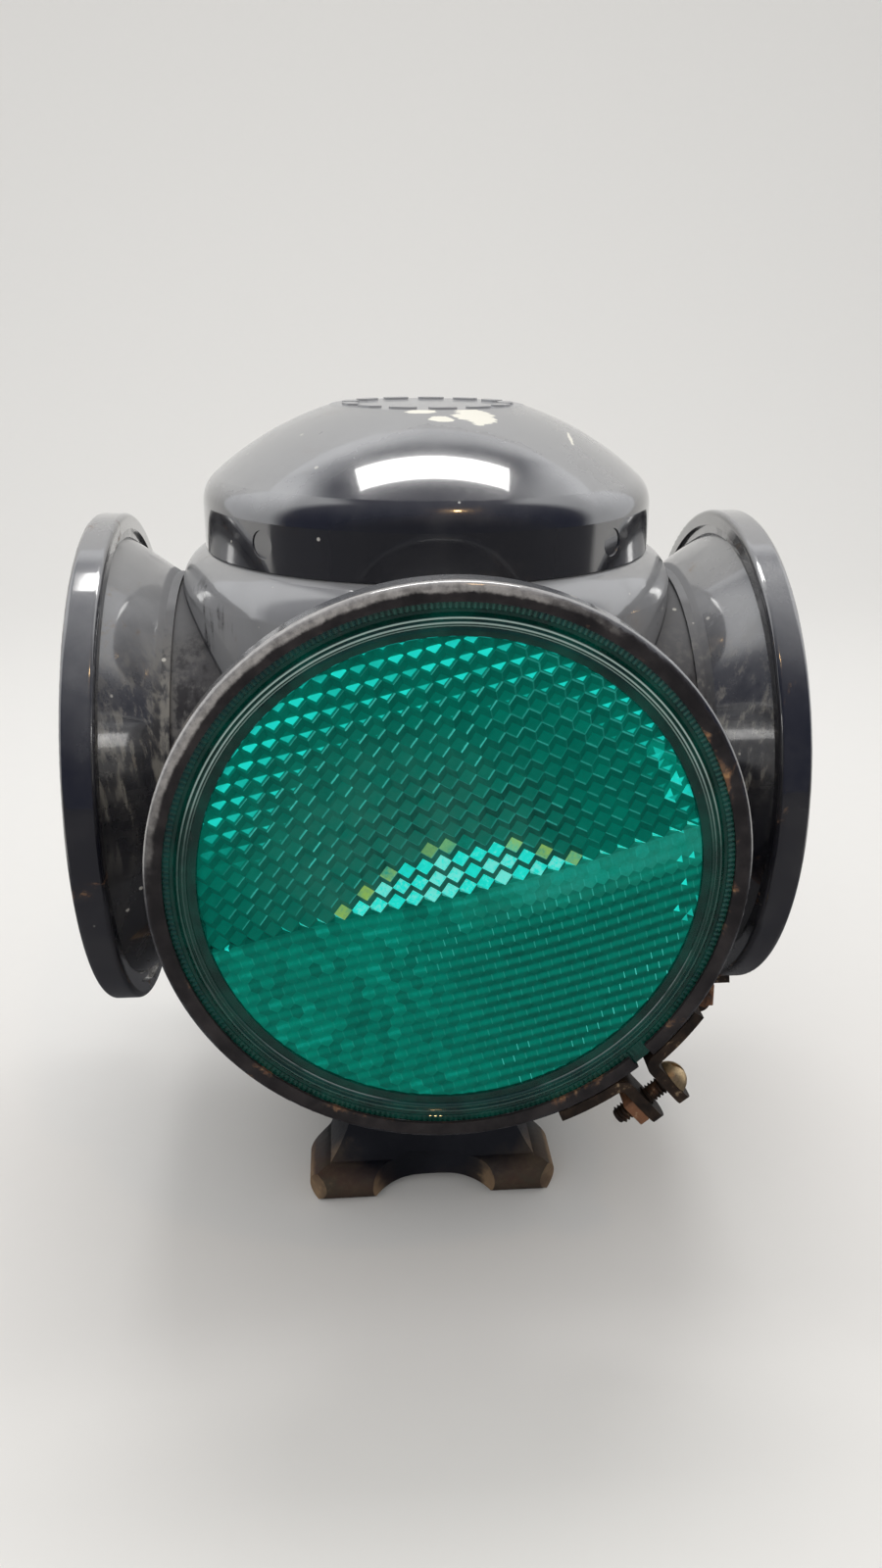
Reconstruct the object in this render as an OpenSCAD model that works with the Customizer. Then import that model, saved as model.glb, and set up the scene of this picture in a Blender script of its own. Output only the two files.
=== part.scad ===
// Four-way railway switch lamp with round reflex lenses, in millimetres.
// The feet stand on z = 0, the lamp's axis is z, and the front lens faces -y.

/* [Overall] */
// Height of the four lens axes above the feet
axis_height = 176; // [172:1:184]
// From the lamp's axis to the outer face of each clamp band
face_reach = 119; // [117:0.5:126]
// Thickness of the body, hood and cap sheet
sheet = 1.2; // [0.8:0.1:1.6]

/* [Body] */
// Outside diameter of the drum
body_d = 176; // [170:1:182]
// Height of the drum's floor above the feet
body_low = 92; // [88:1:96]
// Height of the drum
body_height = 166; // [162:1:172]
// Rounding of the drum's shoulder and heel
body_corner = 14; // [10:1:15]
// From the drum's side in to the opening under the lid
opening_inset = 16; // [15.5:0.5:23]
// Height of the collar above the drum
collar_rise = 6; // [5:0.5:8]
// Number of draught holes through the collar
vent_count = 20; // [8:1:24]
// Diameter of a draught hole
vent_d = 3.2; // [2:0.2:3.6]
// Number of air holes in the drum's floor
air_count = 8; // [4:1:10]
// Diameter of an air hole
air_d = 7; // [4:0.5:9]
// Radius of the ring of air holes
air_ring_r = 62; // [61:0.5:64]
// Outside diameter of the four necks
neck_d = 137.2; // [132:0.2:138]
// How far each neck stands out of the drum
neck_rise = 9; // [7:0.5:12]

/* [Hoods] */
// Gap between the drum and the hood's inner edge
seam_gap = 0.3; // [0.1:0.1:2]
// Length of the hood's straight throat
throat_length = 3; // [2:0.5:5]
// From the lens's prism block out to the inside of the hood's mouth
mouth_room = 5.6; // [4:0.1:7]
// Width of the hood's flange round its mouth
flange_width = 7.25; // [6:0.05:9]

/* [Clamp bands] */
// Width of the channel, lip to lip
band_width = 11; // [10.5:0.1:12]
// Thickness of the band's strip
band_sheet = 1.2; // [0.8:0.1:1.5]
// How far the lips reach inwards
band_lip = 5.6; // [4:0.1:6.4]
// Rounding of the channel's outer edges
band_edge_r = 2; // [1:0.1:2.4]
// Width of the split between the band's ends
band_split = 6.5; // [4:0.5:9]
// From the clamp's middle to the middle of the split
split_shift = 5.5; // [3:0.5:7]
// Place of the clamp, from level right when facing a lens
clamp_angle = -49.5; // [-60:0.5:-35]
// Place of the right band's clamp, under its lens
right_clamp_angle = -95; // [-100:0.5:-85]

/* [Clamp lugs] */
// Thickness of the lug strip
lug_sheet = 3.7; // [3:0.1:4.4]
// Width of the lug strip
lug_width = 9.2; // [8.8:0.1:10]
// Inner radius of the bend between strip and ear
lug_bend = 1.4; // [0.8:0.1:2]
// Length of the strip along the band
lug_length = 20; // [14:1:26]
// How far the ears stand out from the band
ear_length = 23; // [21.5:0.5:26]
// Space between the two ears
ear_space = 7; // [6:0.5:9]
// From the band to the screw's axis
screw_offset = 13.8; // [13:0.1:15]

/* [Clamp screws] */
// Diameter of the clamp screw
screw_d = 6.35; // [5.5:0.05:6.8]
// Diameter of the screw's round head
head_d = 11.4; // [10:0.1:12.4]
// Height of the screw's round head
head_height = 4.3; // [3.6:0.1:5]
// Width of the driver's slot
slot_width = 1.6; // [1.2:0.1:2]
// Depth of the driver's slot
slot_depth = 1.9; // [1.2:0.1:2.4]
// Side of the square nut
nut_side = 9.6; // [9:0.1:11]
// Thickness of the square nut
nut_height = 3.6; // [3:0.1:4.4]
// Length of screw that shows past the nut
screw_tail = 5.3; // [4:0.1:7]

/* [Lenses] */
// Thickness of the felt gasket behind a lens
gasket_thick = 1.6; // [1:0.1:2]
// From the prism block out to the gasket's bore
gasket_room = 4.5; // [2:0.1:7]
// From the prism block out to the middle of the lens's raised bead
bead_room = 4.5; // [3:0.1:5.5]
// Radius of the bead's round section
bead_r = 2; // [1.4:0.1:2.4]
// How far the bead stands out of the lens's rim
bead_rise = 1; // [0.6:0.1:1.1]
// How far the lens's smooth face stands out of its rim
lens_crown = 0.2; // [0.1:0.1:0.5]
// Diameter of the prism block on the lens's back
block_d = 151; // [146:1:154]
// Depth of the prism block behind the rim
block_depth = 3; // [2:0.5:5]
// Turn of the rows of prisms, rising to the right
prism_turn = 14.5; // [-20:0.5:20]
// From the lens's middle down to the line between wide and narrow rows
prism_line = 2.4; // [0:0.1:6]
// From that line up to the middle of the first wide row
prism_first = 3.1; // [2.3:0.1:4]
// Spacing of the wide rows above the line
prism_row = 4.65; // [3.5:0.05:8]
// Spacing of the narrow rows below the line
brick_row = 4.1; // [3:0.05:8]
// From the lens's face down to the ridges of the rows
prism_sink = 0.9; // [0.3:0.1:1.2]
// Depth of the rows
prism_depth = 1.6; // [0.8:0.1:2]

/* [Cap] */
// From the drum's side in to the cap's skirt
cap_inset = 8.8; // [7.5:0.1:9.2]
// Height of the straight skirt
skirt_height = 15.3; // [13:0.1:18]
// Rounding between skirt and dome
cap_corner = 12; // [6:0.5:14]
// Radius of the dome
dome_r = 114.5; // [106:0.5:120]
// Width of the flat crown outside the ring of pads
crown_margin = 3.4; // [2:0.1:5]
// Number of raised pads in the crown's ring
pad_count = 13; // [8:1:14]
// Radius of the ring of pads
pad_ring_r = 27.5; // [22:0.5:29]
// Length of a pad
pad_length = 9.6; // [6:0.2:10]
// Width of a pad
pad_width = 5; // [3:0.2:6]
// Height of a pad
pad_height = 0.7; // [0.5:0.1:1.6]
// Diameter of the round flat spots on the skirt
spot_d = 9; // [6:0.5:10]
// Depth of the round flat spots
spot_depth = 0.5; // [0.3:0.1:0.7]
// Height of the spots above the skirt's edge
spot_height = 8.4; // [7:0.1:9]

/* [Draught baffle] */
// Diameter of the baffle plate
baffle_d = 120; // [110:1:126]
// Number of openings in the baffle plate
baffle_count = 8; // [4:1:10]
// Diameter of an opening in the baffle plate
baffle_hole_d = 14; // [8:1:18]
// Radius of the ring of openings
baffle_ring_r = 40; // [34:1:46]
// Width of an arm of the baffle
arm_width = 12; // [8:1:16]
// Height of the arm's tab
tab_height = 8; // [5:0.5:10]

/* [Lid hinge and catch] */
// Direction of the hinge, from +x
hinge_angle = 45; // [40:1:50]
// Diameter of the hinge pin
pin_d = 3.2; // [2.4:0.1:3.6]
// Wall of the hinge knuckles
knuckle_wall = 1.6; // [1.2:0.1:2]
// Length of the middle knuckle
mid_knuckle = 10; // [8:0.5:14]
// Length of each outer knuckle
end_knuckle = 9; // [7:0.5:12]
// Gap between neighbouring knuckles
knuckle_gap = 0.3; // [0.2:0.05:0.5]
// Thickness of the hinge leaves
leaf_sheet = 1.4; // [1:0.1:1.8]
// Height of the leaf on the lid
lid_leaf_height = 12; // [9:0.5:14]
// Height of the leaf's foot on the drum
foot_height = 20; // [14:0.5:22]
// Width of the leaf's foot on the drum
foot_width = 24; // [18:0.5:28]
// From the skirt's edge up to the pin's axis
pin_rise = 3.6; // [3:0.1:5]
// From the skirt out to the pin's axis
pin_stand = 5; // [4.8:0.1:6]
// Diameter of the pin's heads
pin_head_d = 5; // [4:0.2:6]
// Thickness of the pin's heads
pin_head = 1.2; // [0.8:0.1:1.6]
// Width of the catch spring
catch_width = 14; // [10:1:18]
// Thickness of the catch spring
catch_sheet = 0.8; // [0.5:0.1:1]

/* [Base casting] */
// Half width of the square pedestal
pedestal_half = 31; // [30:0.5:33]
// Radius of the cove that flares to the feet
cove_r = 42; // [38:0.5:44]
// Height of the cove's springing above the feet
cove_height = 42; // [40:0.5:45]
// Rounding of the toes
toe_r = 7.5; // [6:0.1:8]
// How far the toes' rounding is cut flat to stand on
toe_flat = 0.6; // [0.3:0.1:1]
// Wall of the flared foot
foot_wall = 4.5; // [3.5:0.1:6]
// Radius that rounds the four corners
corner_r = 66; // [62:0.5:69]
// Half distance between the scoops of two opposite sides
scoop_half = 39.5; // [38:0.5:42]
// Radius of the two rounds of a scoop
scoop_r = 20; // [16:0.5:26]
// Distance between the middles of a scoop's rounds
scoop_width = 14; // [8:0.5:18]
// Height of the arch between two feet
arch_height = 5; // [4:0.5:7]
// Width of the arch at the floor
arch_width = 58; // [48:1:62]
// Half width of the square socket
socket_half = 22; // [19:0.5:24]
// Thickness of the web over the socket
web_thick = 7; // [5:0.5:9]
// Half width of the top flange
flange_half = 44; // [42:0.5:46]
// Radius that rounds the flange's corners
flange_corner_r = 58; // [57:0.5:60]
// Thickness of the top flange
flange_thick = 5; // [4:0.5:7]
// Half distance between the bolts
bolt_half = 37; // [36.5:0.1:38]
// Diameter of the base bolts
bolt_d = 6.4; // [5:0.1:7]
// Across flats of the bolts' heads and nuts
bolt_flats = 10; // [8:0.2:10.6]
// Height of the bolts' heads
bolt_head = 4; // [3:0.2:5]
// Height of the bolts' nuts
bolt_nut = 5; // [4:0.2:6]

/* [Fount] */
// Diameter of the oil fount
fount_d = 84; // [76:1:86]
// Height of the fount's flat top above the drum's floor
fount_height = 43; // [38:1:46]
// Rounding of the fount's edges
fount_corner = 6; // [3:0.5:9]
// Thickness of the fount's sheet
fount_sheet = 0.8; // [0.6:0.1:1.2]
// Diameter of the threaded fount collar
boss_d = 30; // [26:0.5:32]
// Height of the fount collar
boss_height = 6; // [4:0.5:8]
// Thickness of the fount seat
seat_sheet = 1.2; // [0.8:0.1:1.6]
// Height of the seat's spring clips
clip_height = 18; // [12:1:24]
// Width of the seat's spring clips
clip_width = 12; // [8:1:16]
// Diameter of the filler cap
filler_d = 15; // [12:0.5:16]
// Height of the filler cap
filler_height = 7; // [5:0.5:9]
// From the fount's axis to the filler cap
filler_reach = 28; // [25:0.5:29]

/* [Burner] */
// Diameter of the burner's knurled base
burner_base_d = 34; // [32:0.5:36]
// Height of the burner's knurled base
burner_base_height = 6; // [5:0.5:8]
// Diameter of the burner's body
burner_d = 26; // [24:0.5:28]
// Height of the burner's body
burner_height = 13; // [12:0.5:16]
// Wall of the burner
burner_wall = 2.4; // [2:0.1:3]
// Diameter of the round wick
wick_d = 6; // [5:0.1:7]
// Wall of the wick tube
tube_wall = 0.8; // [0.6:0.1:1]
// Length of tube above the burner
tube_above = 9; // [7:0.5:11]
// Length of tube below the burner
tube_below = 12; // [8:0.5:16]
// Length of wick above the tube
wick_above = 2.5; // [1.5:0.1:4]
// Length of wick below the tube
wick_below = 26; // [18:0.5:28]
// Diameter of the wick wheel
wheel_d = 6.4; // [5.6:0.1:7]
// Thickness of the wick wheel
wheel_thick = 3; // [2:0.1:4]
// Number of teeth on the wick wheel
wheel_teeth = 12; // [8:1:12]
// Diameter of the wick shaft
shaft_d = 2.4; // [2:0.1:2.6]
// From the burner's axis to the knob
knob_reach = 33; // [31:0.5:36]
// Diameter of the wick knob
knob_d = 16; // [12:0.5:18]
// Thickness of the wick knob
knob_thick = 2.2; // [1.6:0.1:3]
// Number of flutes round the wick knob
knob_flutes = 18; // [10:1:24]

/* [Chimney] */
// Diameter of the gallery plate
gallery_d = 50; // [46:1:54]
// Thickness of the gallery plate
gallery_sheet = 1; // [0.8:0.1:1.4]
// Number of draught holes in the gallery plate
gallery_holes = 16; // [8:1:16]
// Number of prongs that hold the chimney
prong_count = 6; // [4:1:8]
// Width of a prong
prong_width = 6; // [4:0.5:8]
// Height of a prong
prong_height = 10; // [6:0.5:14]
// Outside diameter of the chimney's foot
chimney_foot_d = 40; // [36:0.5:42]
// Outside diameter of the chimney's belly
belly_d = 52; // [46:0.5:56]
// Outside diameter of the chimney's top
chimney_top_d = 30; // [26:0.5:34]
// Height of the chimney
chimney_height = 78; // [70:1:84]
// Height of the belly above the chimney's foot
belly_height = 24; // [20:1:28]
// Thickness of the chimney's glass
chimney_wall = 1.6; // [1.2:0.1:2]

/* [Hidden] */
$fn = 72;
// Clearances between pieces that slip together
slip = 0.05;
running = 0.05;
seat_gap = 0.2;
thread_gap = 0.06;
hole_gap = 0.25;
// Overshoot of a cut past the face that it leaves
cut = 1;

enamel = "#1c1d22";
worn = "#2e2c2e";
green_glass = "#0f8f78";
red_glass = "#a3161d";
felt = "#4a443c";
brass = "#b08d4c";
steel = "#8a8d90";
rust = "#6f4a35";
iron = "#3a3533";
tin = "#a9abad";
clear_glass = "#cfe4e6";
cotton = "#e3dcc8";

// Body
body_r = body_d / 2;
body_top = body_low + body_height;
body_floor = body_low + sheet;
opening_r = body_r - opening_inset;
collar_r = opening_r - slip;
collar_top = body_top + collar_rise;
catch_low = body_top + seat_gap;
neck_r = neck_d / 2;
neck_reach = body_r + neck_rise;
seam_reach = body_r + seam_gap;

// Channel of the clamp band, measured along a lens axis from the lamp's axis
block_r = block_d / 2;
mouth_r = block_r + mouth_room + sheet;
rim_r = mouth_r + flange_width;
channel_r = rim_r + hole_gap;
band_r = channel_r + band_sheet;
lip_r = band_r - band_lip;
bead_ring_r = block_r + bead_room;
channel_low = face_reach - band_width;
band_mid = face_reach - band_width / 2;
flange_back = channel_low + band_sheet;
flange_front = flange_back + sheet;
lens_seat = flange_front + gasket_thick;
lens_rim = face_reach - band_sheet;

// Clamp
lug_outer = ear_space / 2 + lug_sheet;
screw_x = band_r + screw_offset;
bend_y = lug_outer + lug_bend;
bend_ring_r = band_r + lug_sheet + lug_bend;
bend_turn = asin(bend_y / bend_ring_r);
bend_x = bend_ring_r * cos(bend_turn);
lug_end = bend_turn + lug_length / band_r * 180 / PI;
wedge_r = 2 * band_r;

// Cap: its edge stands just above the drum's rounded shoulder
cap_r = body_r - cap_inset;
shoulder_z = body_top - body_corner;
shoulder_x = cap_r - sheet - (body_r - body_corner);
cap_low = shoulder_z + sqrt(pow(body_corner, 2) - pow(shoulder_x, 2)) + seat_gap;
skirt_top = cap_low + skirt_height;
cap_corner_x = cap_r - cap_corner;
dome_z = skirt_top - sqrt(pow(dome_r - cap_corner, 2) - pow(cap_corner_x, 2));
crown_r = pad_ring_r + pad_width / 2 + crown_margin;
crown_z = dome_z + sqrt(pow(dome_r, 2) - pow(crown_r, 2));
baffle_z = max(collar_top + 2, cap_low + spot_height - tab_height / 2);

// Hinge, in a frame whose x points from the lamp's axis to the hinge
pin_x = cap_r + pin_stand;
pin_z = cap_low + pin_rise;
pin_r = pin_d / 2;
knuckle_r = pin_r + knuckle_wall;
pin_half = mid_knuckle / 2 + knuckle_gap + end_knuckle;
foot_top = shoulder_z - sheet;

// Base
cove_x = pedestal_half + cove_r;
toe_z = toe_r - toe_flat;
toe_x = cove_x - sqrt(pow(cove_r, 2) - pow(cove_height - toe_z, 2)) - toe_r;
arch_r = (pow(arch_width / 2, 2) + pow(arch_height, 2)) / (2 * arch_height);
flange_low = body_low - flange_thick;

// Fount and burner
seat_top = body_floor + seat_sheet;
fount_r = fount_d / 2;
fount_top = body_floor + fount_height;
boss_top = fount_top + boss_height;
tube_r = wick_d / 2 + running + tube_wall;
burner_low = boss_top;
burner_mid = burner_low + burner_base_height;
burner_top = burner_mid + burner_height;
tube_top = burner_top + tube_above;
tube_low = burner_low - tube_below;
shaft_z = burner_mid + burner_height / 2;
wheel_x = wick_d / 2 + wheel_d / 2 + 3 * running;
gallery_z = burner_top;
chimney_low = gallery_z + gallery_sheet;

// Puts a piece drawn along +z on the lens axis of side k: front, right, back, left
// The right band's clamp sits under its lens, and the left band's the other way round
module on_side(k) {
    $clamp_turn = k % 2 == 0 ? clamp_angle : k == 1 ? right_clamp_angle : -180 - clamp_angle;
    translate([0, 0, axis_height])
        rotate([0, 0, 90 * k])
            rotate([90, 0, 0])
                children();
}

// Turns x to the split of a clamp band and y along the clamp screw
module at_clamp()
    rotate([0, 0, $clamp_turn])
        translate([0, 0, band_mid])
            children();

module along_screw(y)
    translate([screw_x, y, 0])
        rotate([-90, 0, 0])
            children();

module at_hinge()
    rotate([0, 0, hinge_angle])
        children();

module at_bolts()
    for (x = [-1, 1], y = [-1, 1])
        translate([x * bolt_half, y * bolt_half, 0])
            children();

// Half of a rounded rectangle from the axis out to r, between two heights
module round_profile(r, low, high, corner) {
    translate([0, low])
        square([r - corner, high - low]);
    translate([0, low + corner])
        square([r, high - low - 2 * corner]);
    for (z = [low + corner, high - corner])
        translate([r - corner, z])
            circle(corner);
}

module ring(outer, inner, height)
    difference() {
        cylinder(r = outer, h = height);
        translate([0, 0, -cut])
            cylinder(r = inner, h = height + 2 * cut);
    }

module body_solid(inset)
    rotate_extrude()
        round_profile(body_r - inset, body_low + inset, body_top - inset, body_corner - inset);

// Drum and necks, drawn from one sheet
module body_shell()
    color(enamel)
        difference() {
            union() {
                body_solid(0);
                for (k = [0:3])
                    on_side(k)
                        cylinder(r = neck_r, h = neck_reach);
            }
            body_solid(sheet);
            for (k = [0:3])
                on_side(k)
                    cylinder(r = neck_r - sheet, h = neck_reach + cut);
            translate([0, 0, body_top - 2 * sheet])
                cylinder(r = opening_r, h = 4 * sheet);
            for (i = [0:air_count - 1])
                rotate([0, 0, (i + 0.5) * 360 / air_count])
                    translate([air_ring_r, 0, body_low - cut])
                        cylinder(d = air_d, h = sheet + 2 * cut);
            translate([0, 0, body_low - cut])
                at_bolts()
                    cylinder(d = bolt_d + 2 * slip, h = sheet + 2 * cut);
        }

// Collar under the lid, with a flange that bears on the drum's top from inside
module body_collar()
    color(enamel)
        difference() {
            union() {
                translate([0, 0, body_top - 2 * sheet])
                    cylinder(r = collar_r, h = collar_rise + 2 * sheet);
                translate([0, 0, body_top - 2 * sheet])
                    cylinder(r = body_r - body_corner, h = sheet);
            }
            translate([0, 0, body_top - 2 * sheet - cut])
                cylinder(r = collar_r - sheet, h = collar_rise + 2 * sheet + 2 * cut);
            for (i = [0:vent_count - 1])
                rotate([0, 0, hinge_angle + (i + 0.5) * 360 / vent_count])
                    translate([collar_r - 2 * sheet, 0, body_top + collar_rise / 2])
                        rotate([0, 90, 0])
                            cylinder(d = vent_d, h = 3 * sheet);
        }

// Bowed spring on the collar that rubs the skirt and holds the lid shut
module latch_spring()
    color(steel)
        at_hinge()
            rotate([0, 0, 180])
                translate([0, catch_width / 2, 0])
                    rotate([90, 0, 0])
                        linear_extrude(catch_width)
                            polygon([
                                [collar_r, catch_low],
                                [collar_r + catch_sheet, catch_low],
                                [cap_r - sheet - seat_gap, body_top + collar_rise / 2],
                                [collar_r + catch_sheet, collar_top],
                                [collar_r, collar_top],
                                [collar_r, collar_top - catch_sheet],
                                [cap_r - sheet - seat_gap - catch_sheet, body_top + collar_rise / 2],
                                [collar_r, catch_low + catch_sheet]
                            ]);

// A knuckle of the hinge, between two places along the pin
module knuckle(from, to)
    translate([pin_x, from, pin_z])
        rotate([-90, 0, 0])
            cylinder(r = knuckle_r, h = to - from);

module pin_bore(gap)
    translate([pin_x, -pin_half - cut, pin_z])
        rotate([-90, 0, 0])
            cylinder(r = pin_r + gap, h = 2 * (pin_half + cut));

module hinge_body_leaf()
    color(enamel)
        at_hinge()
            difference() {
                union() {
                    intersection() {
                        translate([0, 0, foot_top - foot_height])
                            ring(body_r + leaf_sheet, body_r, foot_height);
                        translate([0, -foot_width / 2, 0])
                            cube([2 * body_r, foot_width, body_top]);
                    }
                    translate([0, mid_knuckle / 2, 0])
                        rotate([90, 0, 0])
                            linear_extrude(mid_knuckle)
                                polygon([
                                    [body_r + leaf_sheet / 2, foot_top - foot_height / 2],
                                    [body_r + leaf_sheet, foot_top - foot_height / 2],
                                    [body_r + leaf_sheet, foot_top],
                                    [pin_x + knuckle_r, pin_z],
                                    [pin_x + knuckle_r - leaf_sheet, pin_z],
                                    [body_r + leaf_sheet / 4, foot_top]
                                ]);
                    knuckle(-mid_knuckle / 2, mid_knuckle / 2);
                }
                pin_bore(slip / 2);
            }

module hinge_lid_leaf()
    color(enamel)
        at_hinge()
            difference() {
                union() {
                    intersection() {
                        translate([0, 0, cap_low + seat_gap])
                            ring(cap_r + leaf_sheet, cap_r, lid_leaf_height);
                        translate([0, -pin_half, 0])
                            cube([2 * cap_r, 2 * pin_half, crown_z]);
                    }
                    for (side = [0, 1])
                        mirror([0, side, 0]) {
                            knuckle(mid_knuckle / 2 + knuckle_gap, pin_half);
                            intersection() {
                                translate([cap_r - sheet, mid_knuckle / 2 + knuckle_gap, pin_z])
                                    cube([pin_stand + sheet, end_knuckle, knuckle_r]);
                                difference() {
                                    cylinder(r = 2 * cap_r, h = crown_z);
                                    translate([0, 0, -cut])
                                        cylinder(r = cap_r, h = crown_z + 2 * cut);
                                }
                            }
                        }
                }
                pin_bore(running);
            }

module hinge_pin()
    color(steel)
        at_hinge()
            translate([pin_x, 0, pin_z])
                rotate([-90, 0, 0]) {
                    translate([0, 0, -pin_half - knuckle_gap])
                        cylinder(r = pin_r, h = 2 * (pin_half + knuckle_gap));
                    for (z = [-pin_half - knuckle_gap - pin_head, pin_half + knuckle_gap])
                        translate([0, 0, z])
                            cylinder(d = pin_head_d, h = pin_head);
                }

// Half section of the cap: skirt, rounded corner, dome and flat crown
module cap_profile(inset) {
    r = cap_r - inset;
    corner = cap_corner - inset;
    dome = dome_r - inset;
    tangent_x = dome * cap_corner_x / (dome_r - cap_corner);
    translate([0, cap_low - (inset > 0 ? cut : 0)])
        square([r, skirt_height + (inset > 0 ? cut : 0)]);
    translate([cap_corner_x, skirt_top])
        circle(corner);
    intersection() {
        translate([0, dome_z])
            circle(dome);
        translate([0, skirt_top])
            square([tangent_x, crown_z - inset - skirt_top]);
    }
}

// Pressed cap with a ring of plain pads on its crown and four flat spots
module dome_cap()
    color(enamel) {
        difference() {
            rotate_extrude()
                cap_half()
                    cap_profile(0);
            rotate_extrude()
                cap_half()
                    cap_profile(sheet);
            for (k = [0:3])
                rotate([0, 0, hinge_angle + 90 * k])
                    translate([cap_r - spot_depth, 0, cap_low + spot_height])
                        rotate([0, 90, 0])
                            cylinder(d = spot_d, h = spot_depth + cut);
        }
        for (i = [0:pad_count - 1])
            rotate([0, 0, i * 360 / pad_count])
                translate([pad_ring_r, 0, crown_z - sheet / 2])
                    linear_extrude(pad_height + sheet / 2)
                        pad_outline();
    }

// Keeps the half of a section on the right of the axis
module cap_half()
    intersection() {
        children();
        square([2 * cap_r, crown_z + cap_r]);
    }

module pad_outline() {
    straight = pad_length - pad_width;
    square([pad_width, straight], center = true);
    for (y = [-straight / 2, straight / 2])
        translate([0, y])
            circle(d = pad_width);
}

// Plate under the dome, spot-welded to the skirt by four tabs
module vent_baffle()
    color(tin)
        difference() {
            union() {
                translate([0, 0, baffle_z])
                    cylinder(d = baffle_d, h = sheet);
                for (k = [0:3])
                    rotate([0, 0, hinge_angle + 90 * k])
                        intersection() {
                            union() {
                                translate([0, 0, baffle_z])
                                    ring(cap_r - sheet - slip, cap_r - 2 * sheet, tab_height);
                                translate([0, 0, baffle_z])
                                    ring(cap_r - sheet - slip, baffle_d / 2 - sheet, sheet);
                            }
                            translate([0, -arm_width / 2, 0])
                                cube([cap_r, arm_width, crown_z]);
                        }
            }
            for (i = [0:baffle_count - 1])
                rotate([0, 0, hinge_angle + i * 360 / baffle_count])
                    translate([baffle_ring_r, 0, baffle_z - cut])
                        cylinder(d = baffle_hole_d, h = sheet + 2 * cut);
        }

// Cone that carries a lens, from its throat on the neck to its flat rim
module hood() {
    throat_r = neck_r + slip;
    rotate_extrude()
        polygon([
            [throat_r, seam_reach],
            [throat_r + sheet, seam_reach],
            [throat_r + sheet, seam_reach + throat_length],
            [mouth_r, flange_back],
            [rim_r, flange_back],
            [rim_r, flange_front],
            [mouth_r - sheet, flange_front],
            [throat_r, seam_reach + throat_length + sheet / 2]
        ]);
}

module gasket()
    translate([0, 0, flange_front])
        ring(rim_r, block_r + gasket_room, gasket_thick);

// Moulded lens: rim under the lips, raised bead, smooth face and prism block
module lens()
    difference() {
        rotate_extrude() {
            translate([0, lens_seat])
                square([rim_r, lens_rim - lens_seat]);
            translate([0, lens_rim])
                square([bead_ring_r, lens_crown]);
            translate([bead_ring_r, lens_rim + bead_rise - bead_r])
                circle(bead_r);
            translate([0, lens_seat - block_depth])
                square([block_r, block_depth]);
        }
        prism_rows();
    }

// What is cut from a lens's face for its rows of prisms, which show through the glass
module prism_rows() {
    ridge = lens_rim + lens_crown - prism_sink;
    over = ridge + prism_sink + cut;
    narrow = [
        for (k = [2 * ceil(block_r / brick_row):-1:0])
            [-prism_line - k * brick_row / 2, ridge - k % 2 * prism_depth]
    ];
    wide = [
        for (k = [0:2 * ceil(block_r / prism_row)])
            [prism_first - prism_line + k * prism_row / 2, ridge - (1 - k % 2) * prism_depth]
    ];
    rotate([0, 0, prism_turn])
        intersection() {
            translate([0, 0, ridge - prism_depth - cut])
                cylinder(r = block_r, h = prism_depth + prism_sink + 3 * cut);
            rotate([90, 0, 90])
                linear_extrude(2 * block_r + cut, center = true)
                    polygon(concat(narrow, wide, [[2 * block_r, over], [-2 * block_r, over]]));
        }
}

// Split channel that wraps the hood's rim, the gasket and the lens
module band() {
    inner = band_width - 2 * band_sheet;
    difference() {
        rotate_extrude()
            difference() {
                union() {
                    translate([lip_r, channel_low])
                        square([band_lip - band_edge_r, band_width]);
                    translate([lip_r, channel_low + band_edge_r])
                        square([band_lip, band_width - 2 * band_edge_r]);
                    for (z = [channel_low + band_edge_r, face_reach - band_edge_r])
                        translate([band_r - band_edge_r, z])
                            circle(band_edge_r);
                }
                translate([lip_r - cut, flange_back])
                    square([channel_r - lip_r + cut, inner]);
            }
        at_clamp()
            translate([0, split_shift - band_split / 2, -band_width])
                cube([2 * band_r, band_split, 2 * band_width]);
    }
}

// Two bent lugs, one at each end of the band
module lugs()
    at_clamp()
        for (side = [0, 1])
            mirror([0, side, 0])
                difference() {
                    union() {
                        lug_arc(band_r, bend_turn, lug_end);
                        translate([bend_x, bend_y, 0])
                            lug_arc(lug_bend, 180 + bend_turn, 270);
                        ear();
                    }
                    along_screw(0)
                        cylinder(d = screw_d + 2 * hole_gap, h = lug_outer + cut);
                }

// Strip bent round z with the given inner radius, from one angle to another
module lug_arc(inner, from, to)
    translate([0, 0, -lug_width / 2])
        intersection() {
            ring(inner + lug_sheet, inner, lug_width);
            linear_extrude(lug_width)
                polygon([[0, 0], wedge_r * [cos(from), sin(from)], wedge_r * [cos(to), sin(to)]]);
        }

// Ear of a lug, rounded at its tip
module ear() {
    tip = band_r + ear_length - lug_width / 2;
    translate([0, lug_outer, 0])
        rotate([90, 0, 0])
            linear_extrude(lug_sheet) {
                translate([bend_x, -lug_width / 2])
                    square([tip - bend_x, lug_width]);
                translate([tip, 0])
                    circle(d = lug_width);
            }
}

// Round-headed clamp screw with a driver's slot
module screw() {
    shank = 2 * lug_outer + nut_height + screw_tail;
    head_ball = (pow(head_d / 2, 2) + pow(head_height, 2)) / (2 * head_height);
    at_clamp() {
        along_screw(lug_outer - shank)
            cylinder(d = screw_d, h = shank);
        along_screw(lug_outer)
            difference() {
                rotate_extrude()
                    intersection() {
                        translate([0, head_height - head_ball])
                            circle(head_ball);
                        square([head_d / 2, head_height]);
                    }
                translate([-head_d, -slot_width / 2, head_height - slot_depth])
                    cube([2 * head_d, slot_width, head_height]);
            }
    }
}

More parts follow.
